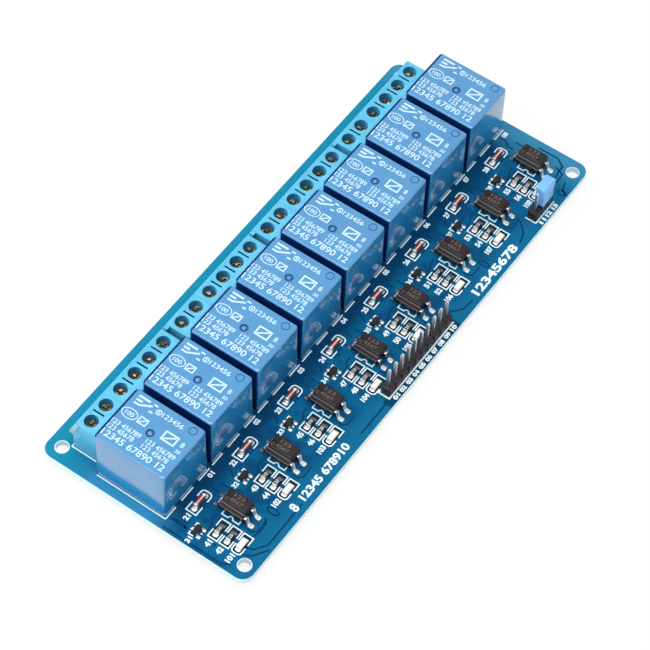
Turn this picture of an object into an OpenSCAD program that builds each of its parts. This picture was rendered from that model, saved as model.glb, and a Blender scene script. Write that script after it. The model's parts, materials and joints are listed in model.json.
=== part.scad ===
// Eight-channel relay module board.
// A blue circuit board carries a row of screw terminals along one long edge, a row of
// eight sealed relays behind it, the eight driver circuits, and along the other long
// edge a ten-pin control header and a three-pin supply header with its jumper cap.
// +X runs from the terminals to the headers, +Y along the relay row, +Z up.
// The origin is the centre of the four mounting holes, at the board's underside.

/* [Board] */
// Board thickness
board_t = 1.6; // [1:0.1:2.4]
// Bare board beyond the first and the last channel
row_margin = 1.96; // [1.6:0.02:6]
// Corner radius of the board
corner_r = 2.8; // [0.5:0.1:3]
// Mounting hole diameter
hole_d = 3; // [2.4:0.1:3.2]
// Mounting hole centre to the terminal edge
hole_inset_term = 3.45; // [2.8:0.05:3.6]
// Mounting hole centre to the header edge
hole_inset_head = 2.85; // [2.6:0.05:3.4]
// Mounting hole centre to the short edges
hole_inset_l = 3.5; // [3:0.05:3.6]
// How far the soldered tails reach below the board
tail_l = 1.8; // [1.2:0.1:3]
// Height of a solder cone under the board
solder_h = 1; // [0.5:0.1:1.1]
// Play of a soldered tail in its plated hole
hole_play = 0.12; // [0.05:0.01:0.2]

/* [Channels] */
// Clear gap between two relay cases
case_gap = 1.46; // [0.6:0.02:4]
// Relay cases to the row of header pins
driver_w = 20.06; // [18:0.02:26]

/* [Relay case] */
// Case length across the board
relay_l = 18.9; // [17:0.1:22]
// Case width along the row
relay_w = 15.3; // [13.7:0.1:18]
// Top of the case above the board
relay_h = 15.5; // [13.8:0.1:20]
// Wall of the case
relay_wall = 0.8; // [0.6:0.05:0.95]
// How much the sides lean in on each side by the top
relay_draft = 0.13; // [0:0.01:0.18]
// Radius of the upright corners
relay_corner_r = 0.7; // [0.4:0.05:1]
// Radius rolled over the top edges
relay_edge_r = 0.4; // [0.2:0.05:0.6]
// Standoff under the case
relay_foot = 0.3; // [0.1:0.05:0.6]
// Clear gap from the terminals to the cases
relay_gap = 0.6; // [0.4:0.05:1.4]
// Diameter of the sealing dimple on the top
dimple_d = 2; // [1:0.1:3]
// Depth of the sealing dimple
dimple_depth = 0.3; // [0.1:0.05:0.4]
// Diameter of the round mould mark near a top corner
mould_mark_d = 1.9; // [1:0.1:2.4]
// Mould mark to the driver side of the case
mark_in_x = 2.4; // [1.8:0.1:4]
// Mould mark to the long side of the case
mark_in_y = 1.85; // [1.6:0.05:4]

/* [Relay works] */
// Thickness of the relay's base plate
base_t = 2.2; // [1.6:0.1:2.6]
// Diameter of the iron core
core_d = 4; // [3:0.1:4.4]
// Diameter of the pole face on the core
pole_d = 6.6; // [5:0.1:8]
// Thickness of the pole face
pole_t = 0.7; // [0.4:0.05:1]
// Thickness of a bobbin flange
flange_t = 0.8; // [0.5:0.05:1.2]
// Wall of the bobbin's barrel
barrel_t = 0.8; // [0.5:0.05:1]
// Winding inside the edge of the flanges
winding_in = 0.3; // [0.1:0.05:1.2]
// Flange clear of the case's long walls
flange_play = 0.22; // [0.1:0.01:0.6]
// Room for the contacts between the bobbin and the case's end
contact_room = 4.12; // [3.9:0.02:4.4]
// Room for the blade between the yoke and the case's end
blade_room = 0.72; // [0.6:0.02:1]
// Thickness of the yoke's iron
yoke_t = 1.2; // [0.8:0.05:1.3]
// Width of the yoke
yoke_w = 9; // [6:0.1:10.2]
// Clear gap from a flange to the upright leg of the yoke
yoke_gap = 0.2; // [0.1:0.02:0.3]
// Thickness of the armature plate
armature_t = 1; // [0.7:0.05:1.05]
// Width of the armature plate
armature_w = 9.4; // [7:0.1:11]
// How far the armature tip reaches past the pole face
armature_overhang = 1.4; // [0.6:0.1:2]
// Angle between the released and the pulled-in armature
armature_lift = 2.4; // [1.5:0.1:2.6]
// Thickness of the contact blade
blade_t = 0.25; // [0.15:0.01:0.3]
// Width of the contact blade
blade_w = 4; // [3:0.1:5]
// Length of the blade's leg down the back of the yoke
blade_leg = 3.4; // [2:0.1:4]
// Blade left round the moving button
blade_rim = 0.3; // [0.1:0.05:0.4]
// Diameter of the contact buttons
contact_d = 2.4; // [1.8:0.1:2.8]
// Thickness of a fixed contact button
contact_t = 0.4; // [0.2:0.05:0.5]
// How far the moving button stands out on each side of its blade
button_t = 0.35; // [0.2:0.05:0.4]
// Thickness of the fixed contact strips
strip_t = 0.4; // [0.25:0.05:0.45]
// Contact strip clear of the roof of the case
roof_play = 0.07; // [0.03:0.01:0.3]
// Running gap between parts that meet when the relay switches
switch_gap = 0.04; // [0.02:0.01:0.08]

/* [Relay pins] */
// Contact pins to the terminal end of the case
contact_pin_in = 2.25; // [2.05:0.05:2.45]
// Contact buttons further in than their pins
contact_in = 0.7; // [0.5:0.05:0.9]
// Coil pins to the driver end of the case
coil_pin_in = 4.45; // [4.3:0.05:4.9]
// Common pin to the driver end of the case
common_pin_in = 2.45; // [2.2:0.05:2.6]
// Outer pins to the long sides of the case
side_pin_in = 1.65; // [1.55:0.02:1.8]
// Width of a flat pin
flat_pin_w = 1.2; // [0.8:0.05:1.3]
// Thickness of a flat pin
flat_pin_t = 0.5; // [0.3:0.05:0.6]
// Diameter of a coil pin
coil_pin_d = 0.6; // [0.5:0.05:0.8]

/* [Terminals] */
// Distance from one terminal to the next
way_pitch = 5.08; // [5:0.02:5.1]
// Terminal row's centre before the middle of the board, towards the first channel
term_shift = 0.3; // [-0.5:0.05:0.5]
// Clear gap between the groups of six terminals
group_gap = 1.65; // [1:0.05:2.2]
// Height of the terminals above the board
term_h = 10.2; // [9.8:0.1:12]
// Depth of the terminal housing at its foot
term_d = 7.5; // [7.4:0.1:8]
// Board edge to the front face of the terminals
term_edge = 5.34; // [4.9:0.02:5.5]
// Front face to the screw axis
screw_in = 3.45; // [3.4:0.05:3.5]
// How far the hood above the wire entries stands out
hood_out = 0.9; // [0.3:0.05:1.1]
// Height of the hood's lower edge above the board
hood_z = 5.2; // [5.15:0.05:5.6]
// Height of the hood's upright face
hood_face = 0.5; // [0.2:0.05:0.8]
// Front face back to the front edge of the top
top_setback = 1.1; // [0.6:0.05:1.4]
// Chamfer along the edges of the top
top_chamfer = 0.2; // [0.1:0.05:0.3]
// Diameter of a screw well
well_d = 3.3; // [3.2:0.05:3.5]
// Diameter of a screw head
screw_head_d = 3; // [2.7:0.05:3.1]
// Thickness of a screw head
screw_head_t = 1.4; // [1:0.05:1.8]
// Diameter of a screw shank
shank_d = 2.4; // [2:0.05:2.5]
// Width of the slit in the top between two ways
slit_w = 0.38; // [0.2:0.02:0.6]
// Length of that slit
slit_l = 3; // [2:0.1:3.4]
// Depth of that slit
slit_depth = 1.2; // [0.6:0.1:2]
// How far a block's tab reaches into its neighbour
tab_l = 1.1; // [0.6:0.05:1.3]
// Width and height of a wire entry
entry_w = 3.6; // [3:0.1:3.8]
// Width of the step round a wire entry
entry_rim = 0.3; // [0.1:0.05:0.35]
// Depth of that step
entry_step = 0.4; // [0.2:0.05:0.8]
// Wall and floor thickness under and between the clamps
term_floor = 0.9; // [0.7:0.05:1]
// Width of a wire clamp along the row
clamp_w = 3.8; // [3.6:0.05:3.85]
// Depth of a wire clamp
clamp_d = 3.4; // [3:0.05:3.5]
// Height of a wire clamp
clamp_h = 4.4; // [4.3:0.05:4.5]
// Wall of a wire clamp
clamp_t = 0.6; // [0.4:0.05:0.65]
// Thickness of a terminal's pin plate
pin_plate_t = 0.6; // [0.4:0.05:0.65]
// Width of a terminal's soldered pin
term_pin_w = 1; // [0.8:0.05:1.2]

/* [Driver parts] */
// Relay case to the axis of the flyback diode
diode_off = 3.58; // [3:0.02:3.8]
// Channel centre back to the diode's centre
diode_shift = 0.18; // [0:0.02:0.6]
// Length of the diode
diode_l = 3.5; // [3:0.1:3.8]
// Diameter of the diode's end caps
diode_d = 1.5; // [1.2:0.05:1.7]
// Length of a diode end cap
diode_cap_l = 0.55; // [0.3:0.05:0.8]
// Relay case to the centre of the transistor
transistor_off = 7.41; // [7.2:0.02:7.6]
// Channel centre back to the transistor's centre
transistor_shift = 6.2; // [5.9:0.02:6.3]
// Length of the transistor body
transistor_l = 2.9; // [2.6:0.05:3.1]
// Width of the transistor body
transistor_w = 1.3; // [1.1:0.05:1.5]
// Top of the transistor above the board
transistor_h = 1.05; // [0.9:0.05:1.3]
// Row of header pins to the lamp chip
lamp_off = 2.96; // [2.6:0.02:3.4]
// Distance between the two resistors and the lamp chip
chip_pitch = 3; // [2.4:0.02:3.1]
// Channel centre back to the centre of the chips
chip_shift = 3.17; // [2.9:0.02:3.3]
// Length of a chip
chip_l = 2; // [1.8:0.05:2.2]
// Width of a chip
chip_w = 1.25; // [1.1:0.05:1.4]
// Height of a chip resistor
resistor_h = 0.55; // [0.4:0.05:0.7]
// Height of a lamp chip
lamp_h = 0.8; // [0.6:0.05:1.1]
// Length of a chip's metal end
chip_end = 0.35; // [0.2:0.05:0.5]
// Coupler's centre past the middle between the relays and the header pins
coupler_past = 1.18; // [0.8:0.02:1.6]
// Channel centre to the centre of the coupler
coupler_shift = 2.92; // [2.8:0.02:3.4]
// Width of the coupler body across the board
coupler_w = 6.4; // [6:0.05:6.6]
// Length of the coupler body along the row
coupler_l = 4.6; // [4.4:0.05:4.8]
// Top of the coupler above the board
coupler_h = 3.65; // [3.3:0.05:4]
// Span over the coupler's leads
coupler_span = 10.1; // [9.6:0.05:10.3]
// Distance between two leads of the coupler
lead_pitch = 2.54; // [2.4:0.02:2.6]
// Width of a coupler lead
lead_w = 1; // [0.6:0.05:1.2]
// Thickness of a coupler lead
lead_t = 0.25; // [0.2:0.01:0.3]

/* [Headers] */
// Distance from one header pin to the next
pin_pitch = 2.54; // [2.5:0.01:2.58]
// Side of a square header pin
pin_side = 0.64; // [0.5:0.01:0.7]
// Tip of the pins above the board
pin_top = 8.6; // [8:0.1:9]
// Height of the black strip
strip_h = 2.54; // [2:0.02:3]
// Width of the black strip
strip_w = 2.5; // [2.2:0.02:2.54]
// Pin row to the header edge of the board
header_edge = 3.3; // [3:0.05:3.5]
// Centre of the control header along the board
control_y = 0.15; // [-2:0.05:2]
// Middle pin of the supply header to the end of the board
supply_end = 17.3; // [16:0.1:20]

/* [Jumper cap] */
// Width of the cap across the pins
cap_w = 2.4; // [2.2:0.05:2.5]
// Side and top wall of the cap
cap_wall = 0.45; // [0.35:0.05:0.5]
// Clear space around the cap along the row
cap_play = 0.09; // [0.05:0.01:0.15]
// Thickness of the clip inside the cap
clip_t = 0.2; // [0.15:0.01:0.22]
// Gap between the clip and a pin
clip_gap = 0.03; // [0.02:0.005:0.05]

/* [Hidden] */

$fn = 48;
hull_fn = 24;
eps = 0.01;
channels = 8;
groups = 4;
ways_per_group = 6;
short_block = 2;
control_pins = 10;
supply_pins = 3;

// Thin clearances that keep neighbours face to face or just apart
fit_gap = 0.05;
seat_gap = 0.02;
mark_depth = 0.08;

// Board
channel_pitch = relay_w + case_gap;
term_row_l = groups * ways_per_group * way_pitch + (groups - 1) * group_gap;
board_l = max(channels * channel_pitch, term_row_l) + 2 * row_margin;
board_w = term_edge + term_d + relay_gap + relay_l + driver_w + header_edge;
hole_span_w = board_w - hole_inset_term - hole_inset_head;
hole_span_l = board_l - 2 * hole_inset_l;
board_x = (hole_inset_head - hole_inset_term) / 2;

// Rows across the board
term_x = board_x - board_w / 2 + term_edge;
screw_x = term_x + screw_in;
relay_x = term_x + term_d + relay_gap + relay_l / 2;
driver_x = relay_x + relay_l / 2;
header_x = driver_x + driver_w;
coupler_x = (driver_x + header_x) / 2 + coupler_past;
lamp_x = header_x - lamp_off;
supply_y = board_l / 2 - supply_end;

// Relay works, measured up from the board's top face
case_lean = relay_wall + relay_draft;
inner_l = relay_l - 2 * case_lean;
inner_w = relay_w - 2 * case_lean;
base_z = relay_foot;
foot_side = 1.2;
yoke_z = base_z + base_t;
bobbin_z = yoke_z + yoke_t;
contact_pin_x = relay_l / 2 - contact_pin_in;
coil_pin_x = relay_l / 2 - coil_pin_in;
common_pin_x = relay_l / 2 - common_pin_in;
pin_half_span = relay_w / 2 - side_pin_in;
pivot_x = inner_l / 2 - blade_room;
yoke_in = pivot_x - yoke_t;
flange_l = inner_l / 2 + yoke_in - yoke_gap - contact_room;
flange_w = inner_w - 2 * flange_play;
winding_d = min(flange_l, flange_w) - 2 * winding_in;
core_x = yoke_in - yoke_gap - flange_l / 2;
armature_tip = core_x - pole_d / 2 - armature_overhang;
contact_x = contact_in - contact_pin_x;
// The moving button's travel between the fixed ones, over the yoke's top edge
button_over = switch_gap + armature_t + blade_t + button_t;
button_reach = pivot_x - contact_x + contact_d / 2;
button_rise = button_reach * sin(armature_lift) - button_over * (1 - cos(armature_lift));
yoke_top = relay_h - relay_wall - roof_play - strip_t - contact_t
    - switch_gap - button_rise - button_over;
pole_z = yoke_top - pole_t;
bobbin_h = pole_z - bobbin_z;
armature_z = yoke_top + switch_gap;
blade_z = armature_z + armature_t;
button_low = blade_z - button_t;
button_high = yoke_top + button_over;
nc_face = button_high + button_rise + switch_gap;
no_face = button_low - switch_gap;

// Terminals, measured up from the board's top face
clamp_play = 0.15;
shank_play = 0.15;
entry_z = term_floor + clamp_t - clamp_play;
clamp_z = term_floor + clamp_play;
clamp_top = clamp_z + clamp_h;
cavity_top = clamp_top + clamp_play;
cavity_w = clamp_w + 2 * clamp_play;
shelf_t = 0.45;
head_z = cavity_top + shelf_t;
plate_gap = 0.25;
plate_z = clamp_top - clamp_t - plate_gap - pin_plate_t;
plate_w = clamp_w - 2 * clamp_t - 2 * fit_gap;
pin_leg_x = clamp_d / 2 + 2 * clamp_play;
cavity_back = pin_leg_x + pin_plate_t + clamp_play;
tab_side = 0.95;
tab_x = top_setback - tab_side + 0.1;
tab_z = term_h - well_d + 0.1;

// Jumper cap, measured up from the strip's top face
cap_pin_room = pin_top - strip_h + 0.08;
cap_h = cap_pin_room + clip_t + seat_gap + cap_wall;
cap_l = 2 * pin_pitch - 2 * cap_play;

function channel_y(i) = (i - (channels - 1) / 2) * channel_pitch;
function group_y(g) = (g - (groups - 1) / 2) * (ways_per_group * way_pitch + group_gap)
    - term_shift;
function way_y(g, w) = group_y(g) + (w - (ways_per_group - 1) / 2) * way_pitch;
function pin_y(n, count) = (n - (count - 1) / 2) * pin_pitch;

module brick(x, y, z) {
    translate([-x / 2, -y / 2, 0]) cube([x, y, z]);
}

module rounded_rect(x, y, r) {
    square([x - 2 * r, y], center = true);
    square([x, y - 2 * r], center = true);
    for (sx = [-1, 1], sy = [-1, 1])
        translate([sx * (x / 2 - r), sy * (y / 2 - r)]) circle(r);
}

// A profile drawn in X and Z, carried along Y and centred on it
module along_y(length) {
    translate([0, length / 2, 0]) rotate([90, 0, 0]) linear_extrude(length) children();
}

module at_channels() {
    for (i = [0 : channels - 1])
        translate([0, channel_y(i), board_t]) children();
}

module at_relay(i) {
    translate([relay_x, channel_y(i), board_t]) children();
}

module at_ways() {
    for (g = [0 : groups - 1], w = [0 : ways_per_group - 1])
        translate([screw_x, way_y(g, w), board_t]) children();
}

module at_pins(y, count) {
    for (n = [0 : count - 1])
        translate([header_x, y + pin_y(n, count), board_t]) children();
}

// Where each kind of soldered tail passes the board
module at_contact_tails() {
    at_channels() for (s = [-1, 1])
        translate([relay_x - contact_pin_x, s * pin_half_span, 0]) children();
}

module at_coil_tails() {
    at_channels() for (s = [-1, 1])
        translate([relay_x + coil_pin_x, s * pin_half_span, 0]) children();
}

module at_common_tails() {
    at_channels() translate([relay_x + common_pin_x, 0, 0]) children();
}

module at_terminal_tails() {
    at_ways() translate([pin_leg_x + pin_plate_t / 2, 0, 0]) children();
}

// Cross-sections of the tails
module flat_tail() square([flat_pin_w, flat_pin_t], center = true);
module common_tail() square([flat_pin_t, flat_pin_w], center = true);
module coil_tail() circle(d = coil_pin_d);
module terminal_tail() square([pin_plate_t, term_pin_w], center = true);
module header_tail() square(pin_side, center = true);

// Radii of the plated holes, a little over the half diagonal of each tail
flat_hole_r = norm([flat_pin_w, flat_pin_t]) / 2 + hole_play;
coil_hole_r = coil_pin_d / 2 + hole_play;
terminal_hole_r = norm([term_pin_w, pin_plate_t]) / 2 + hole_play;
header_hole_r = pin_side / sqrt(2) + hole_play;

module drill(r) {
    translate([0, 0, -board_t - eps]) cylinder(r = r, h = board_t + 2 * eps);
}

// A run of tail from below the board up to a height over its top face
module tail_to(z) {
    translate([0, 0, -board_t - tail_l]) linear_extrude(board_t + tail_l + z) children();
}

// The laminate board with its mounting holes and the holes for every tail
module circuit_board() {
    color([0.02, 0.36, 0.55]) difference() {
        translate([board_x, 0, 0])
            linear_extrude(board_t) rounded_rect(board_w, board_l, corner_r);
        for (sx = [-1, 1], sy = [-1, 1])
            translate([sx * hole_span_w / 2, sy * hole_span_l / 2, -eps])
                cylinder(d = hole_d, h = board_t + 2 * eps);
        at_contact_tails() drill(flat_hole_r);
        at_coil_tails() drill(coil_hole_r);
        at_common_tails() drill(flat_hole_r);
        at_terminal_tails() drill(terminal_hole_r);
        at_pins(control_y, control_pins) drill(header_hole_r);
        at_pins(supply_y, supply_pins) drill(header_hole_r);
    }
}

// One ring of the case's outline, drawn in from the foot by the given amount
module case_ring(z, inset) {
    translate([0, 0, z]) linear_extrude(eps)
        rounded_rect(relay_l - 2 * inset, relay_w - 2 * inset, relay_corner_r, $fn = hull_fn);
}

// Deep-drawn plastic cover with leaning sides and rolled top edges
module relay_case(i) {
    roll_z = relay_h - relay_edge_r;
    color([0.22, 0.5, 0.8]) at_relay(i) difference() {
        hull() {
            case_ring(relay_foot, 0);
            for (a = [0 : 30 : 90])
                case_ring(roll_z + relay_edge_r * sin(a) - eps,
                    relay_draft + relay_edge_r * (1 - cos(a)));
        }
        translate([0, 0, relay_foot - eps])
            brick(inner_l, inner_w, relay_h - relay_foot - relay_wall + eps);
        translate([0, 0, relay_h - dimple_depth]) difference() {
            cylinder(d = dimple_d, h = relay_wall, $fn = hull_fn);
            translate([0, 0, -eps])
                cylinder(d = dimple_d / 2, h = dimple_depth * 0.8, $fn = hull_fn);
        }
        translate([relay_l / 2 - mark_in_x, relay_w / 2 - mark_in_y, relay_h - mark_depth])
            cylinder(d = mould_mark_d, h = relay_wall, $fn = hull_fn);
    }
}

// Moulded plates that close the cases and hold the relay pins, on four small feet
module relay_bases() {
    plate_l = inner_l - 2 * fit_gap;
    plate_width = inner_w - 2 * fit_gap;
    color([0.12, 0.12, 0.13]) at_channels() translate([relay_x, 0, 0]) difference() {
        union() {
            translate([0, 0, base_z]) brick(plate_l, plate_width, base_t);
            for (sx = [-1, 1], sy = [-1, 1])
                translate([sx * (plate_l - foot_side) / 2, sy * plate_width / 4, 0])
                    brick(foot_side, foot_side, base_z + eps);
        }
        for (s = [-1, 1]) {
            translate([-contact_pin_x, s * pin_half_span, -eps])
                linear_extrude(base_z + base_t + 2 * eps) flat_tail();
            translate([coil_pin_x, s * pin_half_span, -eps])
                linear_extrude(base_z + base_t + 2 * eps) coil_tail();
        }
        translate([common_pin_x, 0, -eps])
            linear_extrude(base_z + base_t + 2 * eps) common_tail();
    }
}

// Spools that the windings are wound on
module coil_bobbins() {
    color([0.9, 0.9, 0.86]) at_channels() translate([relay_x, 0, bobbin_z]) difference() {
        union() {
            for (z = [0, bobbin_h - flange_t])
                translate([core_x, 0, z]) brick(flange_l, flange_w, flange_t);
            translate([core_x, 0, 0]) cylinder(d = core_d + 2 * barrel_t, h = bobbin_h);
        }
        translate([core_x, 0, -eps]) cylinder(d = core_d, h = bobbin_h + 2 * eps);
        for (s = [-1, 1])
            translate([coil_pin_x, s * pin_half_span, -eps])
                linear_extrude(flange_t / 2 + eps) coil_tail();
    }
}

module coil_windings() {
    color([0.72, 0.36, 0.16]) at_channels()
        translate([relay_x + core_x, 0, bobbin_z + flange_t]) difference() {
            cylinder(d = winding_d, h = bobbin_h - 2 * flange_t);
            translate([0, 0, -eps])
                cylinder(d = core_d + 2 * barrel_t, h = bobbin_h);
        }
}

// Iron cores with their pole faces, riveted through the foot of the yoke
module coil_cores() {
    color([0.62, 0.63, 0.65]) at_channels() translate([relay_x + core_x, 0, yoke_z]) {
        cylinder(d = core_d, h = yoke_t + bobbin_h + eps);
        translate([0, 0, yoke_t + bobbin_h]) cylinder(d = pole_d, h = pole_t);
    }
}

// L-shaped iron yokes: a foot under the coil and an upright leg behind it
module yokes() {
    foot_l = yoke_in - core_x + core_d / 2 + yoke_t;
    color([0.66, 0.67, 0.7]) at_channels() translate([relay_x, 0, yoke_z]) difference() {
        union() {
            translate([pivot_x - foot_l / 2 - yoke_t / 2, 0, 0])
                brick(foot_l + yoke_t, yoke_w, yoke_t);
            translate([pivot_x - yoke_t / 2, 0, 0]) brick(yoke_t, yoke_w, yoke_top - yoke_z);
        }
        translate([core_x, 0, -eps]) cylinder(d = core_d, h = yoke_t + 2 * eps);
    }
}

module coil_pins() {
    color([0.8, 0.8, 0.78]) at_coil_tails() tail_to(bobbin_z + flange_t / 2) coil_tail();
}

module common_pins() {
    color([0.8, 0.74, 0.6]) at_common_tails() tail_to(yoke_z) common_tail();
}

// The normally closed strip stands on one side and reaches over the moving button,
// the normally open strip stands on the other side and reaches under it
module fixed_contacts() {
    reach = pin_half_span + flat_pin_t / 2 + contact_d / 2;
    arm_start = -contact_pin_x - flat_pin_w / 2;
    arm_w = contact_x + contact_d / 2 + blade_rim - arm_start;
    color([0.82, 0.7, 0.42]) at_channels() translate([relay_x, 0, 0]) {
        // normally closed, above
        translate([-contact_pin_x, -pin_half_span, 0])
            tail_to(nc_face + contact_t + strip_t) flat_tail();
        translate([arm_start, -pin_half_span - flat_pin_t / 2, nc_face + contact_t])
            cube([arm_w, reach, strip_t]);
        translate([contact_x, 0, nc_face]) cylinder(d = contact_d, h = contact_t + eps);
        // normally open, below
        translate([-contact_pin_x, pin_half_span, 0])
            tail_to(no_face - contact_t) flat_tail();
        translate([arm_start, -contact_d / 2, no_face - contact_t - strip_t])
            cube([arm_w, reach, strip_t]);
        translate([contact_x, 0, no_face - contact_t - eps])
            cylinder(d = contact_d, h = contact_t + eps);
    }
}

// Puts a part drawn in the pulled-in position into the released one
module released(i) {
    at_relay(i) translate([pivot_x, 0, yoke_top]) rotate([0, armature_lift, 0])
        translate([-pivot_x, 0, -yoke_top]) children();
}

// Iron plate that tips on the top edge of the yoke
module armature(i) {
    color([0.7, 0.71, 0.73]) released(i)
        translate([armature_tip, -armature_w / 2, armature_z])
            cube([pivot_x - armature_tip, armature_w, armature_t]);
}

// Springy strip riveted on the armature, with the moving contact button at its end.
// Its leg hangs behind the yoke and stays clear of it while the armature tips
module contact_blade(i) {
    tip = contact_x - contact_d / 2 - blade_rim;
    back = pivot_x + blade_leg * sin(armature_lift) + switch_gap;
    color([0.85, 0.6, 0.35]) released(i) {
        translate([tip, -blade_w / 2, blade_z])
            cube([back + blade_t - tip, blade_w, blade_t]);
        translate([back, -blade_w / 2, blade_z - blade_leg])
            cube([blade_t, blade_w, blade_leg + eps]);
        translate([contact_x, 0, button_low])
            cylinder(d = contact_d, h = button_high - button_low);
    }
}

// Side view of a terminal housing: plain foot, hood over the wire entries, sloping front
module term_profile() {
    polygon([
        [0, 0], [0, hood_z], [-hood_out, hood_z], [-hood_out, hood_z + hood_face],
        [top_setback - top_chamfer, term_h - top_chamfer], [top_setback, term_h],
        [term_d - top_chamfer, term_h], [term_d, term_h - top_chamfer], [term_d, 0]
    ]);
}

// Room for one way's screw, clamp, pin and wire
module way_cut() {
    cylinder(d = shank_d + 2 * shank_play, h = term_h);
    translate([0, 0, head_z]) cylinder(d = well_d, h = term_h);
    translate([-clamp_d / 2 - clamp_play, -cavity_w / 2, term_floor])
        cube([clamp_d / 2 + clamp_play + cavity_back, cavity_w, cavity_top - term_floor]);
    translate([-screw_in - eps, -entry_w / 2, entry_z]) cube([screw_in, entry_w, entry_w]);
    translate([-screw_in - eps, -entry_w / 2 - entry_rim, entry_z - entry_rim])
        cube([entry_step, entry_w + 2 * entry_rim, hood_z - entry_z + entry_rim - seat_gap]);
    translate([pin_leg_x + pin_plate_t / 2, 0, -eps])
        linear_extrude(term_floor + 2 * eps) terminal_tail();
}

// The tab at one end of a block, which hooks into the notch of its neighbour
module tab(play) {
    translate([tab_x - play, 0, tab_z - play])
        cube([tab_side + 2 * play, tab_l + 2 * play, tab_side + 2 * play]);
}

// Each group of six ways is a two-way block and a four-way block side by side
module terminal_block(k) {
    g = floor(k / 2);
    first = k % 2 == 0 ? 0 : short_block;
    last = k % 2 == 0 ? short_block - 1 : ways_per_group - 1;
    block_l = (last - first + 1) * way_pitch - seat_gap;
    low_y = way_y(g, first) - block_l / (last - first + 1) / 2;
    color([0.2, 0.62, 0.8]) difference() {
        translate([term_x, low_y, board_t]) {
            translate([0, block_l / 2, 0]) along_y(block_l) term_profile();
            translate([0, -tab_l, 0]) tab(0);
        }
        translate([term_x, low_y + block_l - tab_l, board_t]) tab(fit_gap);
        for (w = [first : last])
            translate([screw_x, way_y(g, w), board_t]) way_cut();
        for (w = [first : 1 : last - 1])
            translate([screw_x, way_y(g, w) + way_pitch / 2, board_t + term_h - slit_depth])
                brick(slit_l, slit_w, slit_depth + eps);
    }
}

// Pan screws with a cross recess
module terminal_screws() {
    color([0.8, 0.72, 0.5]) at_ways() difference() {
        union() {
            translate([0, 0, plate_z + pin_plate_t + fit_gap])
                cylinder(d = shank_d, h = head_z - plate_z - pin_plate_t);
            translate([0, 0, head_z]) cylinder(d = screw_head_d, h = screw_head_t);
        }
        translate([0, 0, head_z + screw_head_t - 0.6]) for (a = [0, 90])
            rotate([0, 0, a]) brick(screw_head_d * 0.72, 0.5, 1);
    }
}

// Square cages that lift the wire against the pin plate
module wire_clamps() {
    color([0.78, 0.78, 0.75]) at_ways() translate([0, 0, clamp_z]) difference() {
        brick(clamp_d, clamp_w, clamp_h);
        translate([0, 0, clamp_t])
            brick(clamp_d + 2 * eps, clamp_w - 2 * clamp_t, clamp_h - 2 * clamp_t);
        translate([0, 0, clamp_h / 2]) cylinder(d = shank_d + 2 * fit_gap, h = clamp_h);
    }
}

// Plates that the wires are clamped to, bent down into soldered pins
module terminal_pins() {
    plate_front = -clamp_d / 2;
    color([0.82, 0.8, 0.72]) at_ways() {
        translate([plate_front, -plate_w / 2, plate_z])
            cube([pin_leg_x + pin_plate_t - plate_front, plate_w, pin_plate_t]);
        translate([pin_leg_x + pin_plate_t / 2, 0, 0]) tail_to(plate_z + eps) terminal_tail();
    }
}

// One ring of a small moulded body
module body_ring(x, y, z) {
    translate([0, 0, z]) brick(x, y, eps);
}

// Moulded coupler bodies, widest at the lead frame, with one top edge bevelled
module coupler_bodies() {
    mid_z = coupler_h / 2 + 0.15;
    lean = 0.22;
    bevel = 0.85;
    color([0.16, 0.14, 0.14]) at_channels()
        translate([coupler_x, coupler_shift, 0]) hull() {
            body_ring(coupler_w - 2 * lean, coupler_l - 2 * lean, 0.25);
            body_ring(coupler_w, coupler_l, mid_z);
            translate([0, lean / 2, 0])
                body_ring(coupler_w - lean, coupler_l - lean, coupler_h - bevel);
            translate([0, bevel / 2, 0])
                body_ring(coupler_w - 2 * lean, coupler_l - 2 * lean - bevel, coupler_h - eps);
        }
}

// Gull-wing leads: out of the body, down, and flat on the board
module coupler_leads() {
    mid_z = coupler_h / 2 + 0.15;
    out = coupler_span / 2;
    foot = 1;
    bend = out - foot;
    start = coupler_w / 2;
    color([0.85, 0.86, 0.88]) at_channels()
        translate([coupler_x, coupler_shift, 0])
            for (sx = [0, 180], sy = [-1, 1])
                translate([0, sy * lead_pitch / 2, 0]) rotate([0, 0, sx]) along_y(lead_w)
                    polygon([
                        [start, mid_z - lead_t / 2], [start, mid_z + lead_t / 2],
                        [start + 0.55, mid_z + lead_t / 2], [bend + 0.05, lead_t],
                        [out, lead_t], [out, 0], [bend - 0.15, 0],
                        [start + 0.4, mid_z - lead_t / 2]
                    ]);
}

module along_diode() {
    at_channels()
        translate([driver_x + diode_off, -diode_shift, diode_d / 2]) rotate([90, 0, 0])
            children();
}

module diode_glass() {
    glass_l = diode_l - 2 * diode_cap_l;
    color([0.75, 0.3, 0.2]) along_diode()
        cylinder(d = diode_d - 0.1, h = glass_l, center = true);
}

module diode_caps() {
    color([0.8, 0.8, 0.8]) along_diode() for (s = [-1, 1])
        translate([0, 0, s * (diode_l - diode_cap_l) / 2])
            cylinder(d = diode_d, h = diode_cap_l, center = true);
}

module at_transistors() {
    at_channels()
        translate([driver_x + transistor_off, -transistor_shift, 0]) children();
}

module transistor_bodies() {
    mid_z = transistor_h / 2;
    lean = 0.1;
    color([0.13, 0.12, 0.12]) at_transistors() hull() {
        body_ring(transistor_w - 2 * lean, transistor_l - 2 * lean, 0.08);
        body_ring(transistor_w, transistor_l, mid_z);
        body_ring(transistor_w - 2 * lean, transistor_l - 2 * lean, transistor_h - eps);
    }
}

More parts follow.
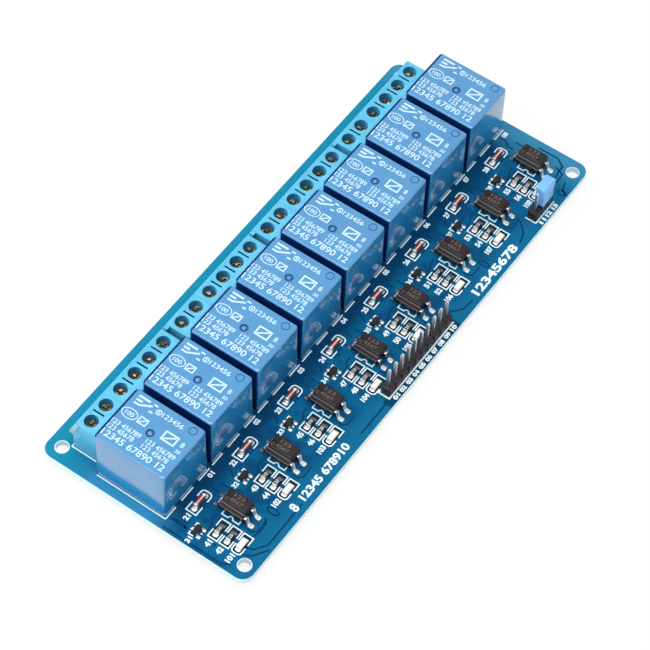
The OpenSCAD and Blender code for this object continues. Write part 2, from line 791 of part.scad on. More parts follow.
// One lead towards the relay and two towards the headers
module transistor_leads() {
    mid_z = transistor_h / 2;
    out = transistor_w / 2 + 0.6;
    start = transistor_w / 2;
    thick = 0.14;
    color([0.85, 0.86, 0.88]) at_transistors()
        for (lead = [[180, 0], [0, 0.95], [0, -0.95]])
            translate([0, lead[1], 0]) rotate([0, 0, lead[0]]) along_y(0.42)
                polygon([
                    [start, mid_z - thick / 2], [start, mid_z + thick / 2],
                    [start + 0.15, mid_z + thick / 2], [start + 0.3, thick],
                    [out, thick], [out, 0], [start + 0.18, 0],
                    [start + 0.05, mid_z - thick / 2]
                ]);
}

// Places along one channel's row of chips: two resistors, then the lamp
module at_chips(from, to) {
    at_channels() for (n = [from : to])
        translate([lamp_x - (2 - n) * chip_pitch, -chip_shift, 0]) children();
}

module resistor_bodies() {
    color([0.12, 0.11, 0.11]) at_chips(0, 1)
        brick(chip_w, chip_l - 2 * chip_end, resistor_h);
}

module lamp_chips() {
    base_h = lamp_h * 0.4;
    lens_l = chip_l - 2 * chip_end;
    color([0.93, 0.92, 0.84]) at_chips(2, 2) {
        brick(chip_w, lens_l, base_h);
        translate([0, 0, base_h - eps]) brick(chip_w - 0.1, lens_l - 0.1, lamp_h - base_h + eps);
    }
}

module chip_ends() {
    color([0.85, 0.85, 0.84]) {
        at_chips(0, 1) for (s = [-1, 1])
            translate([0, s * (chip_l - chip_end) / 2, 0]) brick(chip_w, chip_end, resistor_h);
        at_chips(2, 2) for (s = [-1, 1])
            translate([0, s * (chip_l - chip_end) / 2, 0])
                brick(chip_w, chip_end, lamp_h * 0.4);
    }
}

// Black strip of notched blocks, one for each pin
module header_strip(y, count) {
    notch = 0.35;
    color([0.1, 0.1, 0.1]) difference() {
        at_pins(y, count) linear_extrude(strip_h) polygon([
            [-strip_w / 2, -pin_pitch / 2 + notch], [-strip_w / 2 + notch, -pin_pitch / 2],
            [strip_w / 2 - notch, -pin_pitch / 2], [strip_w / 2, -pin_pitch / 2 + notch],
            [strip_w / 2, pin_pitch / 2 - notch], [strip_w / 2 - notch, pin_pitch / 2],
            [-strip_w / 2 + notch, pin_pitch / 2], [-strip_w / 2, pin_pitch / 2 - notch]
        ]);
        at_pins(y, count) translate([0, 0, -eps])
            linear_extrude(strip_h + 2 * eps) header_tail();
    }
}

// Side view of a square pin with a blunt point
module pin_profile() {
    low = -board_t - tail_l;
    half = pin_side / 2;
    polygon([
        [-half, low], [half, low], [half, pin_top - half],
        [half / 2, pin_top], [-half / 2, pin_top], [-half, pin_top - half]
    ]);
}

module header_pins(y, count) {
    color([0.86, 0.84, 0.78]) at_pins(y, count) intersection() {
        along_y(pin_side) pin_profile();
        rotate([0, 0, 90]) along_y(pin_side) pin_profile();
    }
}

module at_cap() {
    translate([header_x, supply_y + pin_pitch / 2, board_t + strip_h + seat_gap]) children();
}

// Cap over the last two supply pins, open below
module jumper_cap() {
    room_w = cap_w - 2 * cap_wall;
    room_l = cap_l - 2 * cap_wall;
    color([0.3, 0.6, 0.9]) at_cap() difference() {
        linear_extrude(cap_h - seat_gap) rounded_rect(cap_w, cap_l, 0.4);
        translate([0, 0, -eps]) brick(room_w, room_l, cap_h - seat_gap - cap_wall + eps);
    }
}

// Bent strip that joins the two pins under the cap
module jumper_clip() {
    room_w = cap_w - 2 * cap_wall - 2 * fit_gap;
    room_l = cap_l - 2 * cap_wall - 2 * fit_gap;
    leaf_x = pin_side / 2 + clip_gap;
    leaf_l = cap_pin_room - 0.9;
    color([0.8, 0.7, 0.45]) at_cap() {
        translate([0, 0, cap_pin_room - seat_gap]) brick(room_w, room_l, clip_t);
        for (s = [-1, 1], n = [-1, 1])
            translate([s * (leaf_x + clip_t / 2), n * pin_pitch / 2, cap_pin_room - leaf_l])
                brick(clip_t, 1, leaf_l - seat_gap + eps);
    }
}

// A cone of solder around one tail under the board
module solder_cone(r) {
    translate([0, 0, -board_t - solder_h]) difference() {
        cylinder(r1 = r * 0.62, r2 = r * 1.55, h = solder_h);
        translate([0, 0, -eps]) linear_extrude(solder_h + 2 * eps) children();
    }
}

module solder_joints() {
    color([0.8, 0.81, 0.83]) {
        at_contact_tails() solder_cone(flat_hole_r) flat_tail();
        at_coil_tails() solder_cone(coil_hole_r * 1.3) coil_tail();
        at_common_tails() solder_cone(flat_hole_r) common_tail();
        at_terminal_tails() solder_cone(terminal_hole_r * 1.1) terminal_tail();
        at_pins(control_y, control_pins) solder_cone(header_hole_r) header_tail();
        at_pins(supply_y, supply_pins) solder_cone(header_hole_r) header_tail();
    }
}

circuit_board();
relay_case(0);  // relay_case_1
relay_case(1);  // relay_case_2
relay_case(2);  // relay_case_3
relay_case(3);  // relay_case_4
relay_case(4);  // relay_case_5
relay_case(5);  // relay_case_6
relay_case(6);  // relay_case_7
relay_case(7);  // relay_case_8
armature(0);  // armature_1
armature(1);  // armature_2
armature(2);  // armature_3
armature(3);  // armature_4
armature(4);  // armature_5
armature(5);  // armature_6
armature(6);  // armature_7
armature(7);  // armature_8
contact_blade(0);  // contact_blade_1
contact_blade(1);  // contact_blade_2
contact_blade(2);  // contact_blade_3
contact_blade(3);  // contact_blade_4
contact_blade(4);  // contact_blade_5
contact_blade(5);  // contact_blade_6
contact_blade(6);  // contact_blade_7
contact_blade(7);  // contact_blade_8
relay_bases();
coil_bobbins();
coil_windings();
coil_cores();
yokes();
coil_pins();
common_pins();
fixed_contacts();
terminal_block(0);  // terminal_block_1
terminal_block(1);  // terminal_block_2
terminal_block(2);  // terminal_block_3
terminal_block(3);  // terminal_block_4
terminal_block(4);  // terminal_block_5
terminal_block(5);  // terminal_block_6
terminal_block(6);  // terminal_block_7
terminal_block(7);  // terminal_block_8
terminal_screws();
wire_clamps();
terminal_pins();
coupler_bodies();
coupler_leads();
diode_glass();
diode_caps();
transistor_bodies();
transistor_leads();
resistor_bodies();
lamp_chips();
chip_ends();
header_strip(control_y, control_pins);  // control_header_strip
header_pins(control_y, control_pins);  // control_header_pins
header_strip(supply_y, supply_pins);  // supply_header_strip
header_pins(supply_y, supply_pins);  // supply_header_pins
jumper_cap();
jumper_clip();
solder_joints();
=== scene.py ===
import json
import math

import bmesh
import bpy
import numpy as np
from mathutils import Matrix, Vector


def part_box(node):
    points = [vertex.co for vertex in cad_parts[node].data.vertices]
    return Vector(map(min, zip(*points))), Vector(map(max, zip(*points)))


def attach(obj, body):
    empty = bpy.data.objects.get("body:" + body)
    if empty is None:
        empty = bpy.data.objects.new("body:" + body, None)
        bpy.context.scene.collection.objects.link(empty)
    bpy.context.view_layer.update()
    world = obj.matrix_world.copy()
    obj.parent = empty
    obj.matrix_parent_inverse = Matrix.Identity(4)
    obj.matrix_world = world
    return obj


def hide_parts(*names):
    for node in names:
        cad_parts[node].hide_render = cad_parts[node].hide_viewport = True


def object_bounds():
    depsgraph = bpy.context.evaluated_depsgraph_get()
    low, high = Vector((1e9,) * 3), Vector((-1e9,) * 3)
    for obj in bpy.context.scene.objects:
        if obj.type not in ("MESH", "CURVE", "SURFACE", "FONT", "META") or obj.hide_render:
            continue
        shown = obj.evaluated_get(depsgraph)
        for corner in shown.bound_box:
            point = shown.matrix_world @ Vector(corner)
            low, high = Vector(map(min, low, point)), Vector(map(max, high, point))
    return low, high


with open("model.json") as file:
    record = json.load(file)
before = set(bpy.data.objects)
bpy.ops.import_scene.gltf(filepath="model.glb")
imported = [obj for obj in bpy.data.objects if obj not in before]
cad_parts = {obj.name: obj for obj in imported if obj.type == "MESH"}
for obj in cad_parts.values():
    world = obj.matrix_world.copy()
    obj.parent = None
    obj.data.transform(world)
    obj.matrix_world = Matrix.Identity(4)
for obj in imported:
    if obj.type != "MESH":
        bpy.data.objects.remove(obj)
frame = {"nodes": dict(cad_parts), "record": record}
cad_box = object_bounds()


# Camera
# A long lens stands high in front of the board's first channel, turned a little about
# its own axis, so that the row of relays runs from the lower left to the upper right.
camera_data = bpy.data.cameras.new("camera")
camera_data.sensor_width, camera_data.lens = 36, 137.3
camera_data.clip_start, camera_data.clip_end = 0.01, 10
camera = bpy.data.objects.new("camera", camera_data)
camera_place = (0.173854, -0.271045, 0.464782)
camera_right = Vector((0.81550, 0.57794, 0.03066))
camera_up = Vector((-0.49185, 0.66417, 0.56300))
camera_turn = Matrix((camera_right, camera_up, camera_right.cross(camera_up))).transposed()
camera.matrix_world = Matrix.Translation(camera_place) @ camera_turn.to_4x4()
bpy.context.collection.objects.link(camera)
bpy.context.scene.camera = camera
bpy.context.scene.view_settings.view_transform = "Standard"


# Studio
# White paper lies under the board. Three wide soft lamps light it: one from above, one from
# beside the terminals and one from the front. The paper shows white and keeps a faint shadow.
class Tone:
    """One value on its way through a material. +, *, < and > on it add their Math nodes."""

    def __init__(self, finish, socket):
        self.finish, self.socket = finish, socket

    def work(self, operation, first, second):
        return self.finish.add("ShaderNodeMath", {"operation": operation}, {0: first, 1: second})

    def __add__(self, other):
        return self.work("ADD", self, other)

    def __mul__(self, other):
        return self.work("MULTIPLY", self, other)

    def __gt__(self, other):
        return self.work("GREATER_THAN", self, other)

    def __lt__(self, other):
        return self.work("LESS_THAN", self, other)

    __radd__, __rmul__ = __add__, __mul__


class Finish:
    """The node tree of one surface. add() makes any node: its settings first, then its sockets."""

    def __init__(self, name, tree=None):
        if tree is None:
            self.material = bpy.data.materials.new(name)
            self.material.use_nodes = True
            tree = self.material.node_tree
        self.tree = tree
        self.tree.nodes.clear()

    def add(self, kind, settings=None, sockets=None, output=0):
        node = self.tree.nodes.new(kind)
        for key, value in (settings or {}).items():
            if key == "stops":
                for stop, (position, colour) in zip(node.color_ramp.elements, value):
                    stop.position, stop.color = position, colour
            else:
                setattr(node, key, value)
        for key, value in (sockets or {}).items():
            if isinstance(value, Tone):
                self.tree.links.new(value.socket, node.inputs[key])
            else:
                node.inputs[key].default_value = value
        return Tone(self, node.outputs[output]) if len(node.outputs) else None


def looked_at(finish):
    """1 for the rays of the camera, of a mirror and of a glass, and 0 for those that give light."""
    rays = [finish.add("ShaderNodeLightPath", output=f"Is {kind} Ray")
            for kind in ("Camera", "Glossy", "Transmission")]
    return rays[0] + rays[1] + rays[2]


paper = Finish("white_paper")
paper_grain = paper.add("ShaderNodeTexNoise", None, {"Scale": 400.0, "Detail": 3.0})
paper_matt = paper.add("ShaderNodeBsdfDiffuse", None, {
    "Color": paper.add("ShaderNodeMix", {"data_type": "RGBA"}, {
        0: paper_grain, 6: (0.86, 0.86, 0.86, 1), 7: (0.9, 0.9, 0.9, 1)}, 2)})
paper_light = paper.add("ShaderNodeEmission", None, {"Color": (1, 1, 1, 1), "Strength": 1.0})
white_share = 0.88
paper.add("ShaderNodeOutputMaterial", None, {"Surface": paper.add("ShaderNodeMixShader", None, {
    0: looked_at(paper) * white_share, 1: paper_matt, 2: paper_light})})
floor_half, floor_z = 1.5, cad_box[0][2]
floor_mesh = bpy.data.meshes.new("floor")
floor_mesh.from_pydata([(x * floor_half, y * floor_half, floor_z)
                        for x, y in ((-1, -1), (1, -1), (1, 1), (-1, 1))], [], [(0, 1, 2, 3)])
floor_mesh.materials.append(paper.material)
floor = bpy.data.objects.new("floor", floor_mesh)
bpy.context.collection.objects.link(floor)

world = bpy.data.worlds.new("studio")
world.use_nodes = True
bpy.context.scene.world = world
room = Finish("studio", world.node_tree)
room_level = 0.5
room.add("ShaderNodeOutputWorld", None, {"Surface": room.add("ShaderNodeBackground", None, {
    "Color": (1, 1, 1, 1), "Strength": looked_at(room) * (1 - room_level) + room_level})})


def lamp(name, place, size, power):
    """A rectangular soft lamp, turned to face the middle of the board: its place and size are in
    metres, its power in watts."""
    data = bpy.data.lights.new(name, "AREA")
    data.shape, data.energy = "RECTANGLE", power
    data.size, data.size_y = size
    thing = bpy.data.objects.new(name, data)
    thing.location = place
    thing.rotation_euler = (-Vector(place)).to_track_quat("-Z", "Y").to_euler()
    bpy.context.collection.objects.link(thing)


lamp("top_lamp", (0.06, -0.12, 0.7), (0.6, 0.46), 3.5)
lamp("side_lamp", (-0.24, -0.04, 0.15), (0.4, 0.26), 0.4)
lamp("front_lamp", (-0.08, -0.5, 0.26), (0.6, 0.36), 0.47)


# Circuit board
# Glass-fibre laminate, milled to its outline and drilled, with a blue solder mask on both
# faces. The sawn edges and the walls of the holes show the pale bare laminate.
def srgb(red, green, blue):
    """A colour given in steps of 0 to 255 as linear red, green, blue and full alpha."""
    share = np.array([red, green, blue]) / 255
    linear = np.where(share <= 0.04045, share / 12.92, ((share + 0.055) / 1.055) ** 2.4)
    return (*linear.tolist(), 1.0)


def grain(finish, size_mm, detail=2.0, finer=(1, 1, 1)):
    """Soft noise from 0 to 1 with specks of about that size, made finer along some of the axes."""
    place = finish.add("ShaderNodeTexCoord", output="Object")
    place = finish.add("ShaderNodeMapping", None, {"Vector": place, "Scale": finer})
    return finish.add("ShaderNodeTexNoise", None, {
        "Vector": place, "Scale": 1 / (size_mm * mm), "Detail": detail})


def blended(finish, share, first, second):
    """A colour between two others, which are blends themselves or steps of 0 to 255."""
    first, second = (c if isinstance(c, Tone) else srgb(*c) for c in (first, second))
    return finish.add("ShaderNodeMix", {"data_type": "RGBA"}, {0: share, 6: first, 7: second}, 2)


def skin(finish, colour, roughness, height=None, depth_mm=0.01, **constants):
    """Ends a finish in one shader, with a fine relief where a height is given."""
    sockets = {"Base Color": colour, "Roughness": roughness}
    sockets.update({key.replace("_", " "): value for key, value in constants.items()})
    if height is not None:
        sockets["Normal"] = finish.add("ShaderNodeBump", None, {
            "Height": height, "Distance": depth_mm * mm, "Strength": 0.6})
    shader = finish.add("ShaderNodeBsdfPrincipled", None, sockets)
    finish.add("ShaderNodeOutputMaterial", None, {"Surface": shader})
    return finish.material


def dress(material, *nodes):
    """Gives CAD parts their finish."""
    for node in nodes:
        thing = frame["nodes"][node]
        if not thing.material_slots:
            thing.data.materials.append(material)
        for place in thing.material_slots:
            place.material = material


mm = 0.001
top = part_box("circuit_board")[1][2] / mm
mask_t = 0.02
mask = Finish("solder_mask")
object_place = mask.add("ShaderNodeTexCoord", output="Object")
across, along, height = (mask.add("ShaderNodeSeparateXYZ", None, {0: object_place}, n)
                         for n in range(3))


def ramp(value, start, stop):
    """0 to 1 while the value goes from start to stop, both in millimetres."""
    return mask.add("ShaderNodeMapRange", None, {
        "Value": value, "From Min": start * mm, "From Max": stop * mm})


# The copper areas under the mask, then a painted shade beside the relays, a painted light along
# the edges and toward the terminals, a darker strip beside the header, and a fine speckle
copper_areas = mask.add("ShaderNodeValToRGB", {"stops": (
    (0.44, (0, 0, 0, 1)), (0.56, (1, 1, 1, 1)))}, {0: grain(mask, 5)})
mask_blue = blended(mask, copper_areas, (4, 78, 120), (6, 100, 142))
for share, colour in (
        (ramp(across, 10, 6.5), (6, 56, 92)),
        (ramp(across, 20.5, 25), (18, 108, 148)),
        (ramp(across, -4, -24), (26, 142, 174)),
        (ramp(along, -62, -67) * ramp(across, 9, 1) * ramp(across, -21, -14), (52, 142, 186)),
        (ramp(along, 60, 67), (62, 144, 182)),
        ((across > 25.2 * mm) * (along > -14.5 * mm) * (along < 13.5 * mm), (0, 62, 92)),
        (grain(mask, 0.4) * 0.4, (0, 72, 118))):
    mask_blue = blended(mask, share, mask_blue, colour)
laminate = blended(mask, grain(mask, 0.6, finer=(0.3, 0.3, 2)), (206, 240, 246), (232, 250, 252))
edge = (height < (top - mask_t) * mm) * (height > mask_t * mm)
mask_material = skin(mask, blended(mask, edge, mask_blue, laminate),
                     0.3 + grain(mask, 1.5) * 0.12 + edge * 0.3,
                     grain(mask, 0.35, 3), 0.008, Specular_IOR_Level=0.06)
dress(mask_material, "circuit_board")


# Etched gaps
# Narrow gaps between the copper areas, where the mask lies on bare laminate and looks
# darker. They run along the board's edge, between the parts and round the vias.
def grid(points, closed=False):
    """Four-sided faces over rows of points. Each row runs round to its first point, and the
    last row is joined to the first one where the grid is closed."""
    number = np.arange(points.shape[0] * points.shape[1]).reshape(points.shape[:2])
    if closed:
        number = np.vstack([number, number[:1]])
    number = np.hstack([number, number[:, :1]])
    faces = np.stack([number[:-1, :-1], number[:-1, 1:], number[1:, 1:], number[1:, :-1]], -1)
    return points.reshape(-1, 3), faces.reshape(-1, 4).tolist()


def ribbon(path, width, low, high, closed=False):
    """A flat bar from one height to another, carried along a path of x and y. At a bend its edges
    meet on the line that halves the angle."""
    path = np.asarray(path, float)
    step = (np.roll(path, -1, 0) if closed else path[1:]) - (path if closed else path[:-1])
    way = step / np.linalg.norm(step, axis=1, keepdims=True)
    before = np.roll(way, 1, 0) if closed else np.vstack([way[:1], way])
    after = way if closed else np.vstack([way, way[-1:]])
    middle = before + after
    middle /= np.linalg.norm(middle, axis=1, keepdims=True)
    reach = width / 2 / np.maximum(0.5, (middle * after).sum(1, keepdims=True))
    left = np.column_stack([-middle[:, 1], middle[:, 0]]) * reach
    corners = [(path - left, high), (path - left, low), (path + left, low), (path + left, high)]
    sections = np.stack([np.column_stack([p, np.full(len(p), z)]) for p, z in corners], 1)
    points, faces = grid(sections, closed)
    if not closed:
        faces += [[3, 2, 1, 0], list(range(len(points) - 4, len(points)))]
    return points, faces


def arc(x, y, radius, start, stop, steps=10, squeeze=1.0):
    """Points on a circle about x, y between two angles in degrees, with y squeezed for an oval."""
    turn = np.radians(np.linspace(start, stop, steps + 1))
    return np.column_stack([x + radius * np.cos(turn), y + radius * squeeze * np.sin(turn)])


def moved(shape, x=0.0, y=0.0):
    """A shape carried sideways."""
    return shape[0] + np.array([x, y, 0.0]), shape[1]


def hoop(x, y, radius, width, low, high, steps=20, squeeze=1.0):
    """A flat ring about x, y from one height to another, squeezed in y for an oval."""
    circle = arc(0, 0, radius, 0, 360, steps, squeeze)[:-1]
    return moved(ribbon(circle, width, low, high, True), x, y)


def joined(shapes):
    """Several shapes as one: their points follow each other and their faces count on."""
    starts = np.cumsum([0] + [len(points) for points, _ in shapes])
    faces = [[corner + int(start) for corner in face]
             for (_, faces), start in zip(shapes, starts) for face in faces]
    return np.vstack([points for points, _ in shapes]), faces


def placed(name, mesh, body, stands_for):
    """Puts a mesh into the scene as one piece on a body."""
    thing = bpy.data.objects.new(name, mesh)
    bpy.context.collection.objects.link(thing)
    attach(thing, body)
    if stands_for:
        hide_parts(*stands_for)
    return thing


def lay(name, shape, material, body="board", stands_for=()):
    """Makes a shape in millimetres one piece of the scene, smooth except at sharp edges."""
    mesh = bpy.data.meshes.new(name)
    mesh.from_pydata((shape[0] * mm).tolist(), [], shape[1])
    mesh.materials.append(material)
    mesh.shade_smooth()
    mesh.set_sharp_from_angle(angle=math.radians(35))
    return placed(name, mesh, body, stands_for)


def box_of(node):
    """The lowest and highest corners of a CAD part in millimetres."""
    return [np.array(corner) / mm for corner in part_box(node)]


def middle_of(node):
    """The middle and the size of a CAD part in millimetres."""
    low, high = box_of(node)
    return (low + high) / 2, high - low


def clouded(name, size_mm, dark, light, roughness, patch_mm, spread=0.1, relief_mm=None,
            depth_mm=0.01, detail=2.0, **constants):
    """A finish that clouds from dark to light at one size and is rougher by up to spread in
    patches of another, with a fine relief where its size is given."""
    finish = Finish(name)
    tone = blended(finish, grain(finish, size_mm, detail), dark, light)
    height = grain(finish, relief_mm, detail) if relief_mm else None
    return skin(finish, tone, roughness + grain(finish, patch_mm) * spread, height, depth_mm,
                **constants)


relay_places = [middle_of(f"relay_case_{i + 1}")[0] for i in range(8)]
channel_y = [place[1] for place in relay_places]
relay_middle, relay_size = middle_of("relay_case_1")
relay_x = relay_middle[0]
driver_x = relay_x + relay_size[0] / 2
film = 0.012
gap_w, fine_gap_w = 0.42, 0.36
gap_shapes = [ribbon(path, gap_w, top, top + film) for path in (
    [(22.55, -63.76), (24.6, -62.9), (26.85, -59.36)],
    [(22.0, -62.0), (24.0, -61.4), (25.85, -58.66), (25.85, -46.0)],
    [(25.9, -24.0), (25.9, -14.6), (25.2, -13.4)],
    [(22.05, -59.2), (22.6, -56.6), (22.4, -54.6), (21.4, -53.6)],
    [(4.9, -65.66), (9.85, -65.66)],
    [(5.0, -68.2), (20.0, -68.2), (22.3, -67.2)],
    [(23.2, 14.4), (25.6, 17.2), (25.9, 20.6)],
    [(25.9, 40.6), (25.0, 43.5), (22.6, 46.0)],
    [(20.6, 64.6), (23.0, 63.6), (23.2, 61.0), (22.2, 58.4)],
    [(24.9, 62.0), (25.4, 59.9), (26.9, 58.6)],
    [(14.2, 67.0), (19.6, 67.0), (21.8, 65.6), (22.0, 63.0)])]
gap_shapes += [hoop(x, y, radius, gap_w, top, top + film, squeeze=squeeze)
               for x, y, radius, squeeze in (
    (21.85, -51.36, 1.5, 0.45), (22.45, 30.64, 1.3, 0.5), (25.85, 58.84, 1.0, 0.7))]
for y in channel_y:
    gap_shapes += [moved(ribbon(path, fine_gap_w, top, top + film), y=y) for path in (
        [(4.9, 5.4), (6.9, 5.4), (8.0, 4.3), (9.6, 4.3)],
        [(9.3, -2.6), (9.3, 1.2), (10.0, 2.0)],
        [(5.6, -6.6), (8.6, -6.6), (9.6, -7.6)],
        [(13.3, -6.3), (13.3, -3.0), (12.4, -2.1), (12.4, -0.4)],
        [(16.7, -7.2), (16.7, -6.2)],
        [(19.7, 0.6), (21.3, 0.6), (22.1, 1.4), (22.1, 4.4)],
        [(8.9, 6.4), (11.2, 6.4), (12.0, 7.2), (14.4, 7.2)])]
    gap_shapes += [moved(hoop(x, dy, radius, width, top, top + film, 12), y=y)
                   for x, dy, radius, width in ((6.0, 0.2, 0.55, 0.2), (11.4, -3.0, 0.5, 0.18))]
gap_blue = clouded("etched_gap", 1.2, (0, 52, 94), (0, 66, 110), 0.36, 0.8,
                   Specular_IOR_Level=0.06)
lay("etched_gaps", joined(gap_shapes), gap_blue)


# Underside tracks
# Heavy copper tracks under the mask of the lower face, from each relay's contacts to its
# three terminals, and two thin ones from its coil to the driver parts.
way_pitch = 5.08
block_low, block_high = box_of("terminal_block_1")
group_pitch = (middle_of("terminal_block_3")[0] - middle_of("terminal_block_1")[0])[1]
first_way = block_high[1] - 1.5 * way_pitch
way_y = [first_way + group * group_pitch + way * way_pitch
         for group in range(4) for way in range(6)]
tail_x = box_of("terminal_pins")[1][0] - 0.3
contact_x = relay_x - (relay_size[0] / 2 - 2.25)
common_x = relay_x + relay_size[0] / 2 - 2.45
coil_x = common_x - 2.0
pin_off = 6.0
bend_x = contact_x - 1.6
tracks = []
for i, y in enumerate(channel_y):
    for (x, start), width, stop in zip(
            ((contact_x, y - pin_off), (common_x, y), (contact_x, y + pin_off)),
            (2.6, 2.2, 2.6), way_y[3 * i:3 * i + 3]):
        tracks.append(ribbon([(x, start), (bend_x, start), (tail_x + 1.2, stop), (tail_x, stop)],
                             width, -film, 0.0))
    tracks.append(ribbon([(coil_x + 0.1, y - pin_off), (6.4, y - pin_off), (8.2, y - 4.2),
                          (8.2, y + 2)], 0.6, -film, 0.0))
    tracks.append(ribbon([(coil_x + 0.1, y + pin_off), (9.0, y + pin_off), (13.0, y + 3.0),
                          (23.6, y + 3.0)], 0.5, -film, 0.0))
track_blue = clouded("masked_copper", 2.5, (8, 128, 184), (20, 142, 196), 0.3, 1.0,
                     relief_mm=0.4, depth_mm=0.008, Specular_IOR_Level=0.12)
lay("underside_tracks", joined(tracks), track_blue)


# White print
# Epoxy ink screened on the finished mask: outlines that show where each part sits, and
# plain numbers beside them. The lines are three tenths of a millimetre wide.
def numerals(text, x, y, z, size, length, turn=0, lift=0.02, weight=0.018):
    """Plain numbers as flat type, centred on x, y: turn is the reading direction in degrees,
    size the height of a figure and length the whole width, where the type is drawn in or out."""
    curve = bpy.data.curves.new("numerals", "FONT")
    curve.body, curve.resolution_u, curve.extrude, curve.offset = text, 4, 0.05, weight
    thing = bpy.data.objects.new("numerals", curve)
    bpy.context.collection.objects.link(thing)
    filled = thing.evaluated_get(bpy.context.evaluated_depsgraph_get())
    mesh = filled.to_mesh()
    points = np.array([v.co[:] for v in mesh.vertices])
    faces = [list(p.vertices) for p in mesh.polygons]
    filled.to_mesh_clear()
    bpy.data.objects.remove(thing)
    bpy.data.curves.remove(curve)
    low, high = points.min(0), points.max(0)
    points = (points - (low + high) / 2) / (high - low)
    across, up = points[:, 0] * length, points[:, 1] * size
    cos, sin = math.cos(math.radians(turn)), math.sin(math.radians(turn))
    return np.column_stack([x + across * cos - up * sin, y + across * sin + up * cos,
                            z + (points[:, 2] + 0.5) * lift]), faces


ink_low, ink_high = top + film, top + film + 0.02
line_w = 0.3


def line(path, width=line_w):
    """A printed line on the mask."""
    return ribbon(path, width, ink_low, ink_high)


lamp_x, chip_y = middle_of("lamp_chips")[0][:2]
chip_pitch = 3.0
chip_x = lamp_x - 2 * chip_pitch, lamp_x - chip_pitch, lamp_x
diode_x, diode_y = middle_of("diode_caps")[0][:2]
transistor_x, transistor_y = middle_of("transistor_bodies")[0][:2]
coupler_x = middle_of("coupler_bodies")[0][0]
coupler_low = box_of("coupler_bodies")[0][1] - channel_y[0]
header_low, header_high = box_of("control_header_strip")
supply_low, supply_high = box_of("supply_header_strip")

# The driver side of each relay in three strokes, then the outlines of the small parts
print_off = 0.22
case_line_x, case_foot_y = driver_x + print_off, relay_size[1] / 2 + print_off
channel_print = [line([(case_line_x, start), (case_line_x, stop)]) for start, stop in (
    (-case_foot_y, -4.17), (-2.17, 2.03), (4.03, case_foot_y))]
x0, x1 = diode_x - 1.35, diode_x + 1.35
channel_print += [
    line([(x0, diode_y - 0.75), (x0, diode_y - 3.1), (x1, diode_y - 3.1), (x1, diode_y - 0.75)]),
    line(np.vstack([[(x1, diode_y + 0.95)], arc(diode_x + 0.45, diode_y + 2.2, 0.9, 0, 90, 5),
                    arc(diode_x - 0.45, diode_y + 2.2, 0.9, 90, 180, 5), [(x0, diode_y + 0.95)]])),
]
x, y = transistor_x, transistor_y
channel_print += [
    line([(x - 1.15, y - 0.75), (x - 1.15, y - 1.5), (x + 0.05, y - 1.5)]),
    line([(x - 1.15, y + 0.9), (x - 1.15, y + 1.6), (x - 0.55, y + 1.6)]),
    line([(x + 1.0, y), (x + 1.5, y)]),
]
for x in chip_x:
    x0, x1, y0, y1 = x - 1.22, x + 1.22, chip_y - 2.55, chip_y + 2.55
    near_end = [(x0, y0), (x1, y0)]
    if x == lamp_x:
        near_end = np.vstack([arc(x0 + 0.8, y0 + 0.8, 0.8, 180, 270, 4),
                              arc(x1 - 0.8, y0 + 0.8, 0.8, 270, 360, 4)])
    channel_print += [line([(x0, chip_y + 0.45), (x0, y1), (x1, y1), (x1, chip_y + 0.45)]),
                      line([(x0, chip_y - 0.45), *near_end, (x1, chip_y - 0.45)])]
x, y = coupler_x + 0.17, coupler_low - 0.27
channel_print += [
    line(np.vstack([[(x - 2.24, y + 0.9), (x - 2.24, y), (x - 0.66, y)],
                    arc(x, y, 0.6, 160, 20, 8),
                    [(x + 0.66, y), (x + 2.24, y), (x + 2.24, y + 0.9)]])),
    line([(coupler_x - 4.4, coupler_low + 1.3), (coupler_x - 4.4, coupler_low + 4.05)], 0.28),
]
board_print = [moved(joined(channel_print), y=y) for y in channel_y]

# The numbers of the parts in each channel
for i, y in enumerate(channel_y):
    board_print += [numerals(text, x, y + dy, ink_low, size, length, 90, weight=0.045)
                    for text, x, dy, size, length in (
        (f"{i + 1:02d}", driver_x + 1.4, 6.8, 1.25, 1.6),
        (f"{i + 21}", diode_x, -4.75, 1.35, 1.6),
        (f"{i + 31}", transistor_x - 0.2, -8.95, 1.25, 1.55),
        (f"{2 * i + 41}", chip_x[0], -7.2, 1.4, 1.75),
        (f"{2 * i + 42}", chip_x[1], -7.2, 1.4, 1.75),
        (f"{i + 101}", lamp_x - 0.1, -7.35, 1.4, 2.2))]

# Outlines and pin numbers of the two headers, and the large numbers along the edge
pin_pitch = 2.54
x0, x1 = header_low[0] - 0.15, header_high[0] + 0.25
board_print += [
    line([(x0, header_low[1] + 0.9), (x0, header_low[1] - 0.25), (x1, header_low[1] - 0.25),
          (x1, header_high[1] + 0.1)], 0.38),
    line([(x0, supply_low[1] - 0.25), (x1, supply_low[1] - 0.25), (x1, supply_high[1] + 0.1)]),
]
for start, first, count, pitch in ((header_low[1], 1, 10, pin_pitch), (supply_low[1], 11, 3, 2.6)):
    board_print += [numerals(f"{first + n:02d}", x1 + 0.92, start + (n + 0.5) * pitch,
                             ink_low, 1.15, 1.85, 90, weight=0.06) for n in range(count)]
board_print += [numerals(text, x, y, ink_low, size, length, 90, weight=0.035)
                for text, x, y, size, length in (
    ("8", 25.0, -47.9, 2.3, 1.5), ("12345 678910", 25.0, -36.6, 2.1, 17.2),
    ("12345678", 25.35, 30.8, 2.3, 17.0))]

# The corner of the first terminal block, and the end of the first relay
tab = 1.1
x, y = block_low[0] + 0.65, block_low[1] + tab - 0.3
board_print += [
    line([(x, y + 0.75), (x, y), (x + 8.45, y)]),
    line([(x + 8.85, channel_y[0] - case_foot_y), (case_line_x, channel_y[0] - case_foot_y)]),
]
white_ink = clouded("white_ink", 0.4, (222, 246, 250), (240, 252, 254), 0.55, 0.3)
lay("white_print", joined(board_print), white_ink)


